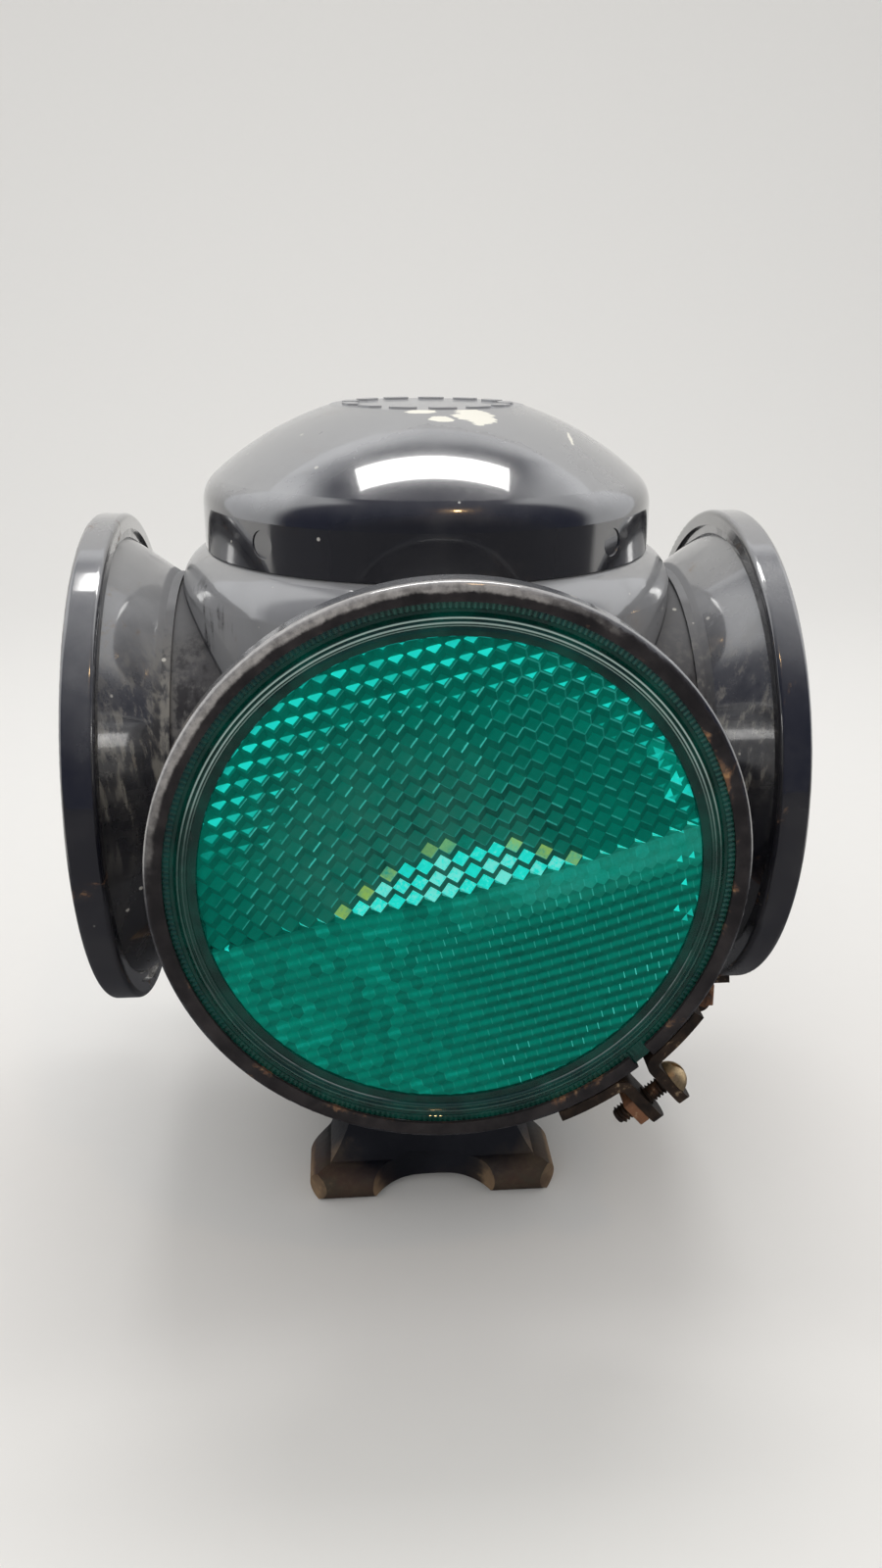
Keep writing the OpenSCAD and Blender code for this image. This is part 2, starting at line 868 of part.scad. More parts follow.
module nut()
    at_clamp()
        along_screw(-lug_outer - nut_height)
            difference() {
                translate([-nut_side / 2, -nut_side / 2, 0])
                    cube([nut_side, nut_side, nut_height]);
                translate([0, 0, -cut])
                    cylinder(d = screw_d + 2 * thread_gap, h = nut_height + 2 * cut);
            }

// Side outline of the flared foot, moved inwards by inset
module flare_outline(inset) {
    for (side = [0, 1])
        mirror([side, 0]) {
            difference() {
                square([toe_x - inset / 2, cove_height]);
                translate([cove_x, cove_height])
                    circle(cove_r + inset);
            }
            if (inset == 0)
                intersection() {
                    translate([toe_x, toe_z])
                        circle(toe_r);
                    square([2 * toe_x, cove_height]);
                }
        }
}

module flare(inset)
    intersection_for (turn = [0, 90])
        rotate([0, 0, turn])
            translate([0, corner_r, 0])
                rotate([90, 0, 0])
                    linear_extrude(2 * corner_r)
                        flare_outline(inset);

// Upright scoops in the foot's four sides, grown by wall
module scoops(wall)
    for (k = [0:3])
        rotate([0, 0, 90 * k])
            translate([scoop_half + scoop_r, 0, -cut]) {
                for (side = [-1, 1])
                    translate([0, side * scoop_width / 2, 0])
                        cylinder(r = scoop_r + wall, h = cove_height);
                translate([-scoop_r - wall, -scoop_width / 2, 0])
                    cube([2 * (scoop_r + wall), scoop_width, cove_height]);
            }

// Cast socket with a flared foot, four toes and a flange under the drum
module base_casting()
    color(iron)
        difference() {
            union() {
                difference() {
                    intersection() {
                        flare(0);
                        cylinder(r = corner_r, h = cove_height);
                    }
                    scoops(0);
                }
                translate([-pedestal_half, -pedestal_half, cove_height])
                    cube([2 * pedestal_half, 2 * pedestal_half, flange_low - cove_height]);
                intersection() {
                    translate([-flange_half, -flange_half, flange_low])
                        cube([2 * flange_half, 2 * flange_half, flange_thick]);
                    translate([0, 0, flange_low])
                        cylinder(r = flange_corner_r, h = flange_thick);
                }
            }
            difference() {
                translate([0, 0, -cut / 100])
                    flare(foot_wall);
                scoops(foot_wall);
            }
            translate([-socket_half, -socket_half, -cut])
                cube([2 * socket_half, 2 * socket_half, body_low - web_thick + cut]);
            for (turn = [0, 90])
                rotate([0, 0, turn])
                    translate([0, corner_r + cut, arch_height - arch_r])
                        rotate([90, 0, 0])
                            cylinder(r = arch_r, h = 2 * (corner_r + cut));
            translate([0, 0, flange_low - cut])
                at_bolts()
                    cylinder(d = bolt_d + 2 * slip, h = flange_thick + 2 * cut);
        }

module base_bolts()
    color(rust)
        at_bolts() {
            translate([0, 0, flange_low - bolt_head])
                cylinder(d = bolt_flats, h = bolt_head, $fn = 6);
            translate([0, 0, flange_low])
                cylinder(d = bolt_d, h = flange_thick + sheet + bolt_nut);
        }

module base_nuts()
    color(rust)
        translate([0, 0, body_floor])
            at_bolts()
                difference() {
                    cylinder(d = bolt_flats, h = bolt_nut, $fn = 6);
                    translate([0, 0, -cut])
                        cylinder(d = bolt_d + 2 * thread_gap, h = bolt_nut + 2 * cut);
                }

// Plate with four spring clips that hold the fount
module fount_seat() {
    clip_r = fount_r + slip;
    color(steel) {
        translate([0, 0, body_floor])
            cylinder(r = clip_r - clip_width / 2, h = seat_sheet);
        for (k = [0:3])
            rotate([0, 0, 90 * k])
                intersection() {
                    union() {
                        translate([0, 0, body_floor])
                            ring(clip_r + seat_sheet, clip_r - clip_width, seat_sheet);
                        translate([0, 0, body_floor])
                            ring(clip_r + seat_sheet, clip_r, clip_height);
                    }
                    translate([0, -clip_width / 2, 0])
                        cube([2 * fount_r, clip_width, body_top]);
                }
    }
}

// Oil tank with a threaded collar for the burner
module fount()
    color(tin)
        difference() {
            union() {
                rotate_extrude()
                    round_profile(fount_r, seat_top, fount_top, fount_corner);
                translate([0, 0, fount_top - fount_sheet])
                    cylinder(d = boss_d, h = boss_height + fount_sheet);
            }
            rotate_extrude()
                round_profile(fount_r - fount_sheet, seat_top + fount_sheet, fount_top - fount_sheet,
                    fount_corner - fount_sheet);
            translate([0, 0, fount_top - 2 * fount_sheet])
                cylinder(r = tube_r + running, h = boss_height + 4 * fount_sheet);
        }

module filler_cap()
    color(brass)
        translate([-filler_reach, 0, fount_top]) {
            cylinder(d = filler_d - 2 * sheet, h = filler_height);
            translate([0, 0, filler_height / 2])
                cylinder(d = filler_d, h = filler_height / 2);
        }

// Burner with its wick tube, a hollow for the wick wheel and a bore for the shaft
module burner()
    color(brass)
        difference() {
            union() {
                translate([0, 0, burner_low])
                    cylinder(d = burner_base_d, h = burner_base_height);
                translate([0, 0, burner_mid])
                    cylinder(d = burner_d, h = burner_height);
                translate([0, 0, tube_low])
                    cylinder(r = tube_r, h = tube_top - tube_low);
            }
            translate([0, 0, tube_low - cut])
                cylinder(d = wick_d + 2 * running, h = tube_top - tube_low + 2 * cut);
            translate([0, -wheel_thick / 2 - seat_gap, shaft_z - wheel_d / 2 - seat_gap])
                cube([wheel_x + wheel_d / 2 + seat_gap, wheel_thick + 2 * seat_gap, wheel_d + 2 * seat_gap]);
            translate([wheel_x, 0, shaft_z])
                rotate([90, 0, 0])
                    cylinder(d = shaft_d + 2 * running, h = burner_d);
        }

// Shaft with a toothed wheel that lifts the wick
module wick_shaft()
    color(brass)
        translate([wheel_x, 0, shaft_z])
            rotate([90, 0, 0]) {
                translate([0, 0, wheel_thick / 2])
                    cylinder(d = shaft_d, h = knob_reach - wheel_thick / 2);
                translate([0, 0, -wheel_thick / 2])
                    linear_extrude(wheel_thick)
                        wheel_outline();
            }

module wheel_outline() {
    tooth = wheel_d / 10;
    circle(r = wheel_d / 2 - tooth);
    for (i = [0:wheel_teeth - 1])
        rotate(i * 360 / wheel_teeth)
            polygon([
                [0, -tooth],
                [wheel_d / 2 - tooth, -tooth],
                [wheel_d / 2, 0],
                [wheel_d / 2 - tooth, tooth],
                [0, tooth]
            ]);
}

module wick_knob()
    color(brass)
        translate([wheel_x, -knob_reach, shaft_z])
            rotate([90, 0, 0])
                linear_extrude(knob_thick)
                    difference() {
                        circle(d = knob_d);
                        for (i = [0:knob_flutes - 1])
                            rotate(i * 360 / knob_flutes)
                                translate([knob_d / 2 + knob_thick / 4, 0])
                                    circle(d = knob_thick);
                    }

module wick()
    color(cotton)
        translate([0, 0, tube_low - wick_below])
            cylinder(d = wick_d, h = tube_top - tube_low + wick_below + wick_above);

// Perforated plate with prongs that grip the chimney
module chimney_gallery() {
    grip_r = chimney_foot_d / 2 + slip;
    hole_ring = (burner_d / 2 + chimney_foot_d / 2 - chimney_wall) / 2;
    color(brass)
        difference() {
            union() {
                translate([0, 0, gallery_z])
                    cylinder(d = gallery_d, h = gallery_sheet);
                intersection() {
                    translate([0, 0, gallery_z])
                        ring(grip_r + gallery_sheet, grip_r, prong_height);
                    for (i = [0:prong_count - 1])
                        rotate([0, 0, i * 360 / prong_count])
                            translate([0, -prong_width / 2, 0])
                                cube([gallery_d, prong_width, crown_z]);
                }
            }
            translate([0, 0, gallery_z - cut])
                cylinder(r = tube_r + slip, h = gallery_sheet + 2 * cut);
            for (i = [0:gallery_holes - 1])
                rotate([0, 0, i * 360 / gallery_holes])
                    translate([hole_ring, 0, gallery_z - cut])
                        cylinder(d = 2 * gallery_sheet, h = gallery_sheet + 2 * cut);
        }
}

// Glass chimney: straight foot, belly and long taper
module chimney() {
    foot = chimney_foot_d / 2;
    belly = belly_d / 2;
    top = chimney_top_d / 2;
    w = chimney_wall;
    straight = prong_height;
    color(clear_glass)
        rotate_extrude()
            translate([0, chimney_low])
                polygon([
                    [foot - w, 0],
                    [foot, 0],
                    [foot, straight],
                    [belly, belly_height],
                    [top, chimney_height],
                    [top - w, chimney_height],
                    [belly - w, belly_height],
                    [foot - w, straight]
                ]);
}

module hood_front() color(enamel) on_side(0) hood();
module hood_right() color(enamel) on_side(1) hood();
module hood_back() color(enamel) on_side(2) hood();
module hood_left() color(enamel) on_side(3) hood();

module gasket_front() color(felt) on_side(0) gasket();
module gasket_right() color(felt) on_side(1) gasket();
module gasket_back() color(felt) on_side(2) gasket();
module gasket_left() color(felt) on_side(3) gasket();

module lens_front() color(green_glass) on_side(0) lens();
module lens_right() color(red_glass) on_side(1) lens();
module lens_back() color(green_glass) on_side(2) lens();
module lens_left() color(red_glass) on_side(3) lens();

module band_front() color(worn) on_side(0) band();
module band_right() color(worn) on_side(1) band();
module band_back() color(worn) on_side(2) band();
module band_left() color(worn) on_side(3) band();

module lugs_front() color(worn) on_side(0) lugs();
module lugs_right() color(worn) on_side(1) lugs();
module lugs_back() color(worn) on_side(2) lugs();
module lugs_left() color(worn) on_side(3) lugs();

module screw_front() color(brass) on_side(0) screw();
module screw_right() color(brass) on_side(1) screw();
module screw_back() color(brass) on_side(2) screw();
module screw_left() color(brass) on_side(3) screw();

module nut_front() color(rust) on_side(0) nut();
module nut_right() color(rust) on_side(1) nut();
module nut_back() color(rust) on_side(2) nut();
module nut_left() color(rust) on_side(3) nut();

base_casting();
base_bolts();
base_nuts();
body_shell();
body_collar();
latch_spring();
hinge_body_leaf();
hinge_pin();
hinge_lid_leaf();
dome_cap();
vent_baffle();
fount_seat();
fount();
filler_cap();
burner();
wick_shaft();
wick_knob();
wick();
chimney_gallery();
chimney();
hood_front();
gasket_front();
lens_front();
band_front();
lugs_front();
screw_front();
nut_front();
hood_right();
gasket_right();
lens_right();
band_right();
lugs_right();
screw_right();
nut_right();
hood_back();
gasket_back();
lens_back();
band_back();
lugs_back();
screw_back();
nut_back();
hood_left();
gasket_left();
lens_left();
band_left();
lugs_left();
screw_left();
nut_left();
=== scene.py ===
"""Looks of a railway signal lamp: enamel, bands, foot, burner, prism lenses, clamp screws and the stage."""

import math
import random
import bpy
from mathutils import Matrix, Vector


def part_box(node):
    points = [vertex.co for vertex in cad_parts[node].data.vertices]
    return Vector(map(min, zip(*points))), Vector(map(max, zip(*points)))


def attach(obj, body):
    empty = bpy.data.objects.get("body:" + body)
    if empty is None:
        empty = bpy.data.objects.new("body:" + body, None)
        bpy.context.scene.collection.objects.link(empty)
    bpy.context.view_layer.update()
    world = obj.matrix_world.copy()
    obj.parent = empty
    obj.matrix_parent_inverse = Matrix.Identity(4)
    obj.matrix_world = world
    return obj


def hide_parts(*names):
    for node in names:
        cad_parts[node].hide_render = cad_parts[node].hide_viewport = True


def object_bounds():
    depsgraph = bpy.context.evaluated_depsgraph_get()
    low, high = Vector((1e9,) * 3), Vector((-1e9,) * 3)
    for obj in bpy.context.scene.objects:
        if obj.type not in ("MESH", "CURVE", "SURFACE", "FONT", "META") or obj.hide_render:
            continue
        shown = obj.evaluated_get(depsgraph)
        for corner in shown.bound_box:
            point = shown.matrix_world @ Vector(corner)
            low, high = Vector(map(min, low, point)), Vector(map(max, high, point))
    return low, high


bl_info = {
    "name": "Railway Signal Lamp",
    "version": (1, 0, 0),
    "blender": (4, 5, 0),
    "location": "View3D > Sidebar > Signal Lamp",
    "description": "Finishes a packed signal lamp and models its prism lenses and clamp screws",
    "category": "Object",
}

from contextlib import contextmanager
from dataclasses import dataclass
from functools import cached_property

import bmesh
import bpy
from mathutils import Matrix, Vector

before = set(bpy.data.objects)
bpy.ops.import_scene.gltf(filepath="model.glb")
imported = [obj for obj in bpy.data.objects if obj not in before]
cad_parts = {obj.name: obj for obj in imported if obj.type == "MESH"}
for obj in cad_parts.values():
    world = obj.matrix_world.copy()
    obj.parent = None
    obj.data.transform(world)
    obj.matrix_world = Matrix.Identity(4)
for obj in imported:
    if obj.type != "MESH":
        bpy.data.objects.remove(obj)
CAD_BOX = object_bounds()

MM = 0.001
SIDES = ("front", "right", "back", "left")
LENS_LOW, LENS_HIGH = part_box("lens_front")
BAND_LOW, BAND_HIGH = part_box("band_front")
AXIS_HEIGHT = (LENS_LOW.z + LENS_HIGH.z) / 2
LENS_RADIUS = (LENS_HIGH.x - LENS_LOW.x) / 2
BAND_MIDDLE = -(BAND_LOW.y + BAND_HIGH.y) / 2
BAND_RADIUS = (BAND_HIGH.z - BAND_LOW.z) / 2
NECK_RADIUS = 68.6 * MM

# Paint chips on the crown: middle and half sizes in mm, and how full each is
CHIPS = (
    ((13, -36), (9.5, 7.5), 1.7),
    ((-4, -34), (7, 2.4), 1.75),
    ((2, -40), (6, 2.6), 1.7),
    ((45.6, -31), (1.1, 8), 1.5),
)

# Prism fields of a lens, in mm: height of their tops, their radius, the line between them and its sag
PRISM_TOPS = 117.5
FIELD_RADIUS = 79
DIVIDE = -2.1
SAG = 2.8
SAG_MIDDLE = 17

# Spacing of the rows where hexagons stand 1 apart
HEXAGON_ROW = 0.866

# Rows of cells painted bright above the line: the ends of each in mm, then the row and place of each cell
# with a painted yellowish glint
LIT_ROWS = ((-28.5, 31), (-20.3, 22), (-12.3, 17), (0, 2))
WARM_GLINT_CELLS = ((0, 36), (1, -25.6), (1, 27.7), (2, -18.3), (2, 19.4), (3, -5), (3, 0.5), (0, -34))

# Painted highlight lines on the double bead of a lens: radius and half width in mm, and strength
BEAD_GLINTS = ((78.6, 0.3, 0.45), (79.5, 0.35, 0.8), (80.9, 0.35, 0.9))


def colour_prop(name, description, default):
    """A linear colour that shows as a swatch."""
    return bpy.props.FloatVectorProperty(
        name=name, description=description, default=default, subtype="COLOR", size=3, min=0, max=1
    )


def length_prop(name, description, default):
    """A length in metres, shown in the scene's unit."""
    return bpy.props.FloatProperty(
        name=name, description=description, default=default, unit="LENGTH", precision=5
    )


def angle_prop(name, description, default):
    """An angle in radians, shown in degrees."""
    return bpy.props.FloatProperty(name=name, description=description, default=default, subtype="ANGLE")


class LampPaint(bpy.types.PropertyGroup):
    """Colours of the metal parts."""

    enamel: colour_prop("Enamel", "Stove enamel of the drum, hoods and cap", (0.006, 0.0062, 0.0115))
    film: colour_prop("Film", "Dusty film wiped over the enamel", (0.051, 0.05, 0.051))
    dust: colour_prop("Dust", "Grey dust on what faces up", (0.295, 0.3, 0.312))
    scuff: colour_prop("Scuff", "Pale rubbed streaks on the hoods", (0.27, 0.255, 0.22))
    ochre: colour_prop("Ochre stain", "Stains on the hoods", (0.17, 0.105, 0.045))
    speck: colour_prop("Speck", "Specks of stray paint", (0.62, 0.6, 0.55))
    grime: colour_prop("Grime", "Brown-black grime on the bands", (0.012, 0.009, 0.01))
    rust: colour_prop("Rust", "Rust on bands, lugs and nuts", (0.15, 0.062, 0.027))
    # Also the painted highlight on the toes' outward faces
    tan: colour_prop("Tan rust", "Dry rust on the toes of the foot", (0.24, 0.155, 0.085))
    # Also the colour of the painted reflection along the upper left edge of the front and back bands
    bare: colour_prop("Bare edge", "Steel rubbed bare along edges", (0.5, 0.48, 0.46))
    # Near-black dark paint, darkened further as painted shade
    iron: colour_prop("Foot paint", "Paint left on the cast foot", (0.006, 0.007, 0.011))
    brass: colour_prop("Brass", "Burner, screws and filler cap", (0.52, 0.34, 0.14))
    chip: colour_prop("Paint chip", "Chip of pale paint on the crown", (0.84, 0.82, 0.72))


class LampGlass(bpy.types.PropertyGroup):
    """Sizes and colours of the prism lenses."""

    cell_pitch: length_prop("Cell pitch", "Spacing of the large prism cells", 5.47 * MM)
    brick_pitch: length_prop("Brick pitch", "Spacing of the small prism cells along a row", 3.8 * MM)
    brick_row: length_prop("Brick row", "Spacing of the rows of small prism cells", 4.1 * MM)
    relief: length_prop("Relief", "Depth of the prism cells", 4.4 * MM)
    tilt: angle_prop("Tilt", "Turn of the line between the two prism fields", math.radians(14.5))
    teeth: bpy.props.IntProperty(name="Teeth", description="Ribs round the edge of a lens", default=312)
    # Glass colours in painted shade, in plain light and in painted highlight, and the colour of the painted
    # yellowish glints
    deep_green: colour_prop("Deep green", "Green glass in shade", (0.001, 0.05, 0.037))
    mid_green: colour_prop("Mid green", "Green glass in plain light", (0.0, 0.205, 0.146))
    bright_green: colour_prop("Bright green", "Green prism that sends the light back", (0.02, 0.97, 0.84))
    warm_green: colour_prop("Warm green", "Yellowish prism in green glass", (0.42, 0.62, 0.09))
    deep_red: colour_prop("Deep red", "Red glass in shade", (0.035, 0.001, 0.001))
    mid_red: colour_prop("Mid red", "Red glass in plain light", (0.16, 0.004, 0.004))
    bright_red: colour_prop("Bright red", "Red prism that sends the light back", (0.85, 0.12, 0.06))
    warm_red: colour_prop("Warm red", "Orange prism in red glass", (0.9, 0.4, 0.1))


class LampClamp(bpy.types.PropertyGroup):
    """Sizes of the clamp screws and nuts."""

    angle: angle_prop("Clamp angle", "Where the clamp sits round a lens", math.radians(-49.5))
    right_angle: angle_prop("Right clamp angle", "Where it sits on the right band", math.radians(-95))
    reach: length_prop("Screw reach", "From the lens axis to the screw", 104.8 * MM)
    seat: length_prop("Seat", "From the clamp's middle to the outside of a lug", 7.2 * MM)
    thread: length_prop("Thread diameter", "Outside diameter of the thread", 6.35 * MM)
    pitch: length_prop("Thread pitch", "Advance of the thread in one turn", 1.27 * MM)
    head: length_prop("Head diameter", "Diameter of the round head", 11.4 * MM)
    head_height: length_prop("Head height", "Height of the round head", 4.3 * MM)
    nut_width: length_prop("Nut width", "Width across the flats of the square nut", 9.6 * MM)
    nut_height: length_prop("Nut height", "Thickness of the square nut", 3.6 * MM)
    tail: length_prop("Tail", "Thread that stands out of the nut", 5.3 * MM)
    slot: length_prop("Slot width", "Width of the slot in the head", 1.6 * MM)


class LampStage(bpy.types.PropertyGroup):
    """Camera, light and floor."""

    place: bpy.props.FloatVectorProperty(
        name="Camera place",
        description="Where the camera stands",
        default=(-0.02997, -0.43259, 0.33194),
        subtype="TRANSLATION",
        unit="LENGTH",
    )
    pan: angle_prop("Pan", "Turn of the camera to the right", 0.0825)
    tilt: angle_prop("Tilt", "Turn of the camera down", 0.3738)
    roll: angle_prop("Roll", "Turn of the camera about its view", 0.0067)
    focal: bpy.props.FloatProperty(
        name="Focal length", description="On a sensor 36 mm high", default=27.083, subtype="DISTANCE_CAMERA"
    )
    floor: colour_prop("Floor", "Plain floor and backdrop", (0.8, 0.79, 0.77))
    table: colour_prop("Table", "Floor as it shows in reflections", (0.07, 0.07, 0.075))
    pale: colour_prop("Pale room", "Light of the room behind the lamp", (0.91, 0.92, 0.94))
    shade: colour_prop("Dim room", "Light of the room in front of the lamp", (0.05, 0.056, 0.085))
    ambient: colour_prop("Ambient", "Soft light from all round", (0.8, 0.8, 0.8))


class Value:
    """A socket of a node tree; arithmetic on it adds Math nodes."""

    def __init__(self, shading, socket):
        self.shading = shading
        self.socket = socket

    def __add__(self, other):
        return self.shading.maths("ADD", self, other)

    __radd__ = __add__

    def __sub__(self, other):
        return self.shading.maths("SUBTRACT", self, other)

    def __rsub__(self, other):
        return self.shading.maths("SUBTRACT", other, self)

    def __mul__(self, other):
        return self.shading.maths("MULTIPLY", self, other)

    __rmul__ = __mul__

    def __truediv__(self, other):
        return self.shading.maths("DIVIDE", self, other)

    def __pow__(self, other):
        return self.shading.maths("POWER", self, other)

    def __abs__(self):
        return self.shading.maths("ABSOLUTE", self)

    def larger(self, other):
        return self.shading.maths("MAXIMUM", self, other)

    def smaller(self, other):
        return self.shading.maths("MINIMUM", self, other)


class Shading:
    """The node tree of a material or of the world."""

    def __init__(self, owner):
        owner.use_nodes = True
        self.owner = owner
        self.tree = owner.node_tree
        self.tree.nodes.clear()

    def node(self, kind, settings=None, sockets=None, output=0):
        """Adds a node, sets it up, then fills or links its sockets; returns one of its outputs."""
        node = self.tree.nodes.new(kind)
        for key, setting in (settings or {}).items():
            if key == "stops":
                set_stops(node.color_ramp, setting)
            else:
                setattr(node, key, setting)
        for key, value in (sockets or {}).items():
            if isinstance(value, Value):
                self.tree.links.new(value.socket, node.inputs[key])
            else:
                node.inputs[key].default_value = value
        return Value(self, node.outputs[output]) if node.outputs else None

    def maths(self, operation, *terms):
        return self.node("ShaderNodeMath", {"operation": operation}, dict(enumerate(terms)))

    @cached_property
    def place(self):
        """Where a point is on its piece."""
        return self.node("ShaderNodeTexCoord", output="Object")

    def outputs(self, value):
        """All the outputs of the node that a value comes from."""
        return [Value(self, socket) for socket in value.socket.node.outputs]

    def parts(self, vector):
        """The three parts of a vector."""
        return self.outputs(self.node("ShaderNodeSeparateXYZ", sockets={0: vector}))

    def facing(self):
        """The three parts of the surface's direction."""
        return self.parts(self.node("ShaderNodeNewGeometry", output="Normal"))

    def noise(self, scale, detail=5.0, roughness=0.55, distortion=0.0, stretch=None):
        vector = self.place
        if stretch:
            vector = self.node("ShaderNodeMapping", sockets={"Vector": vector, "Scale": stretch})
        sockets = {"Vector": vector, "Scale": scale, "Detail": detail, "Roughness": roughness}
        return self.node("ShaderNodeTexNoise", sockets={**sockets, "Distortion": distortion})

    def specks(self, scale, rare, size):
        """Scattered specks of random sizes; the nearer rare is to 1, the fewer."""
        sockets = {"Vector": self.place, "Scale": scale}
        near, tint, *_ = self.outputs(self.node("ShaderNodeTexVoronoi", sockets=sockets))
        chance = self.node("ShaderNodeSeparateColor", sockets={0: tint})
        return self.smooth(near - self.smooth(chance, rare, 1) * size, 0.02, -0.02)

    def marks(self, name):
        """The four parts of a colour attribute."""
        colour = self.node("ShaderNodeAttribute", {"attribute_name": name}, output="Color")
        split = self.node("ShaderNodeSeparateColor", sockets={0: colour})
        return [*self.outputs(split), Value(self, colour.socket.node.outputs["Alpha"])]

    def smooth(self, value, low, high):
        """0 below low, 1 above high, with an eased step between; falls where high is below low."""
        sockets = {"Value": value, "From Min": low, "From Max": high}
        return self.node("ShaderNodeMapRange", {"interpolation_type": "SMOOTHSTEP"}, sockets)

    def blend(self, mask, below, above):
        """Colour that goes from below to above as the mask goes from 0 to 1."""
        sockets = {0: mask, 6: rgba(below), 7: rgba(above)}
        return self.node("ShaderNodeMix", {"data_type": "RGBA"}, sockets, output=2)

    def layers(self, base, *coats):
        """A base colour under coats, each given by its mask and its colour."""
        for mask, colour in coats:
            base = self.blend(mask, base, colour)
        return base

    def ramp(self, value, stops):
        return self.node("ShaderNodeValToRGB", {"stops": stops}, {0: value})

    def bump(self, height, distance, strength=1.0):
        sockets = {"Height": height, "Distance": distance, "Strength": strength}
        return self.node("ShaderNodeBump", sockets=sockets)

    def surface(self, **sockets):
        """The finished material; its sockets are named with underlines for spaces."""
        named = {key.replace("_", " "): value for key, value in sockets.items()}
        shader = self.node("ShaderNodeBsdfPrincipled", sockets=named)
        self.node("ShaderNodeOutputMaterial", sockets={"Surface": shader})
        return self.owner


def set_stops(ramp, stops):
    """Puts the stops, given as position and colour, on a colour ramp."""
    while len(ramp.elements) > 1:
        ramp.elements.remove(ramp.elements[-1])
    for index, (position, colour) in enumerate(stops):
        element = ramp.elements[0] if index == 0 else ramp.elements.new(position)
        element.position = position
        element.color = rgba(colour)


def rgba(colour):
    """A colour with its alpha, or the socket that it already is."""
    return colour if isinstance(colour, Value) else (*colour, 1)


def new_finish(name):
    return Shading(bpy.data.materials.new(name))


def coat(material, *nodes):
    """Gives CAD nodes a material."""
    for name in nodes:
        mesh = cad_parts[name].data
        mesh.materials.clear()
        mesh.materials.append(material)


def around(stem):
    """The names of a piece on all four sides."""
    return [f"{stem}_{side}" for side in SIDES]


def only(piece):
    """Selects one piece and nothing else."""
    bpy.ops.object.select_all(action="DESELECT")
    piece.select_set(True)
    bpy.context.view_layer.objects.active = piece


@contextmanager
def editing(piece):
    """Edit mode on one piece, with nothing selected at the start."""
    only(piece)
    bpy.ops.object.mode_set(mode="EDIT")
    bpy.ops.mesh.select_mode(type="VERT")
    bpy.ops.mesh.select_all(action="DESELECT")
    yield
    bpy.ops.object.mode_set(mode="OBJECT")


def pick(piece, test):
    """Selects the vertices whose place passes the test, in edit mode."""
    bpy.ops.mesh.select_all(action="DESELECT")
    shape = bmesh.from_edit_mesh(piece.data)
    for vertex in shape.verts:
        vertex.select_set(bool(test(vertex.co)))
    shape.select_flush(True)
    bmesh.update_edit_mesh(piece.data)


def start(name, add, **settings):
    """Adds a primitive alone, with its place in its mesh."""
    bpy.ops.object.select_all(action="DESELECT")
    add(**settings)
    piece = bpy.context.object
    piece.name = name
    bpy.ops.object.transform_apply(location=True, rotation=True, scale=True)
    return piece


def close_up():
    """Merges doubles and turns all faces outwards, in edit mode."""
    bpy.ops.mesh.select_all(action="SELECT")
    bpy.ops.mesh.remove_doubles(threshold=1e-6)
    bpy.ops.mesh.normals_make_consistent(inside=False)


def cap_ends(piece, sides=0):
    """Fills the open ends of a piece; sides is the most corners that an end may have, 0 for any."""
    with editing(piece):
        bpy.ops.mesh.select_all(action="SELECT")
        bpy.ops.mesh.fill_holes(sides=sides)
        close_up()


def in_mm(points):
    return [(radius * MM, height * MM) for radius, height in points]


def turned(name, profile, steps):
    """A piece turned about z: a circle is extruded and scaled through radii and heights."""
    (radius, height), *rest = profile
    piece = start(
        name, bpy.ops.mesh.primitive_circle_add, vertices=steps, radius=radius, location=(0, 0, height)
    )
    with editing(piece):
        bpy.ops.mesh.select_all(action="SELECT")
        for next_radius, next_height in rest:
            rise = (0, 0, next_height - height)
            bpy.ops.mesh.extrude_region_move(TRANSFORM_OT_translate={"value": rise})
            scale = next_radius / radius
            bpy.ops.transform.resize(value=(scale, scale, 1), center_override=(0, 0, 0))
            radius, height = next_radius, next_height
        close_up()
    return piece


def carve(piece, cutter):
    """Cuts one piece out of another and removes it."""
    cut = piece.modifiers.new("Cut", "BOOLEAN")
    cut.operation = "DIFFERENCE"
    cut.object = cutter
    apply_modifiers(piece)
    bpy.data.objects.remove(cutter)


def join(name, *pieces):
    """Joins pieces into the first."""
    bpy.ops.object.select_all(action="DESELECT")
    for piece in pieces:
        piece.select_set(True)
    bpy.context.view_layer.objects.active = pieces[0]
    bpy.ops.object.join()
    pieces[0].name = name
    return pieces[0]


def apply_modifiers(piece):
    only(piece)
    for modifier in list(piece.modifiers):
        bpy.ops.object.modifier_apply(modifier=modifier.name)


def put(piece, matrix):
    """Moves a piece and leaves its place in its mesh."""
    only(piece)
    piece.matrix_world = matrix
    bpy.ops.object.transform_apply(location=True, rotation=True, scale=True)


def copy_piece(piece, name):
    """A copy with its own mesh."""
    only(piece)
    bpy.ops.object.duplicate(linked=False)
    copy = bpy.context.object
    copy.name = name
    copy.data.name = name
    return copy


def side_matrix(index):
    """Turns a piece whose axis is z so that it faces out of one of the four sides."""
    return (
        Matrix.Translation((0, 0, AXIS_HEIGHT))
        @ Matrix.Rotation(math.radians(90 * index), 4, "Z")
        @ Matrix.Rotation(math.radians(90), 4, "X")
    )


def smooth_piece(piece, degrees=30):
    only(piece)
    bpy.ops.object.shade_smooth_by_angle(angle=math.radians(degrees))


def ease(value, low, high):
    """0 at low, 1 at high, eased between."""
    share = min(max((value - low) / (high - low), 0), 1)
    return share * share * (3 - 2 * share)


def fade(value, low, high):
    """1 at low, 0 at high, eased between."""
    return 1 - ease(value, low, high)


def lens_axes(shading):
    """How far out along its lens axis a point is, and how far from that axis."""
    x, y, z = shading.parts(shading.place)
    across, along = abs(x).smaller(abs(y)), abs(x).larger(abs(y))
    up = z - AXIS_HEIGHT
    return along, (across * across + up * up) ** 0.5


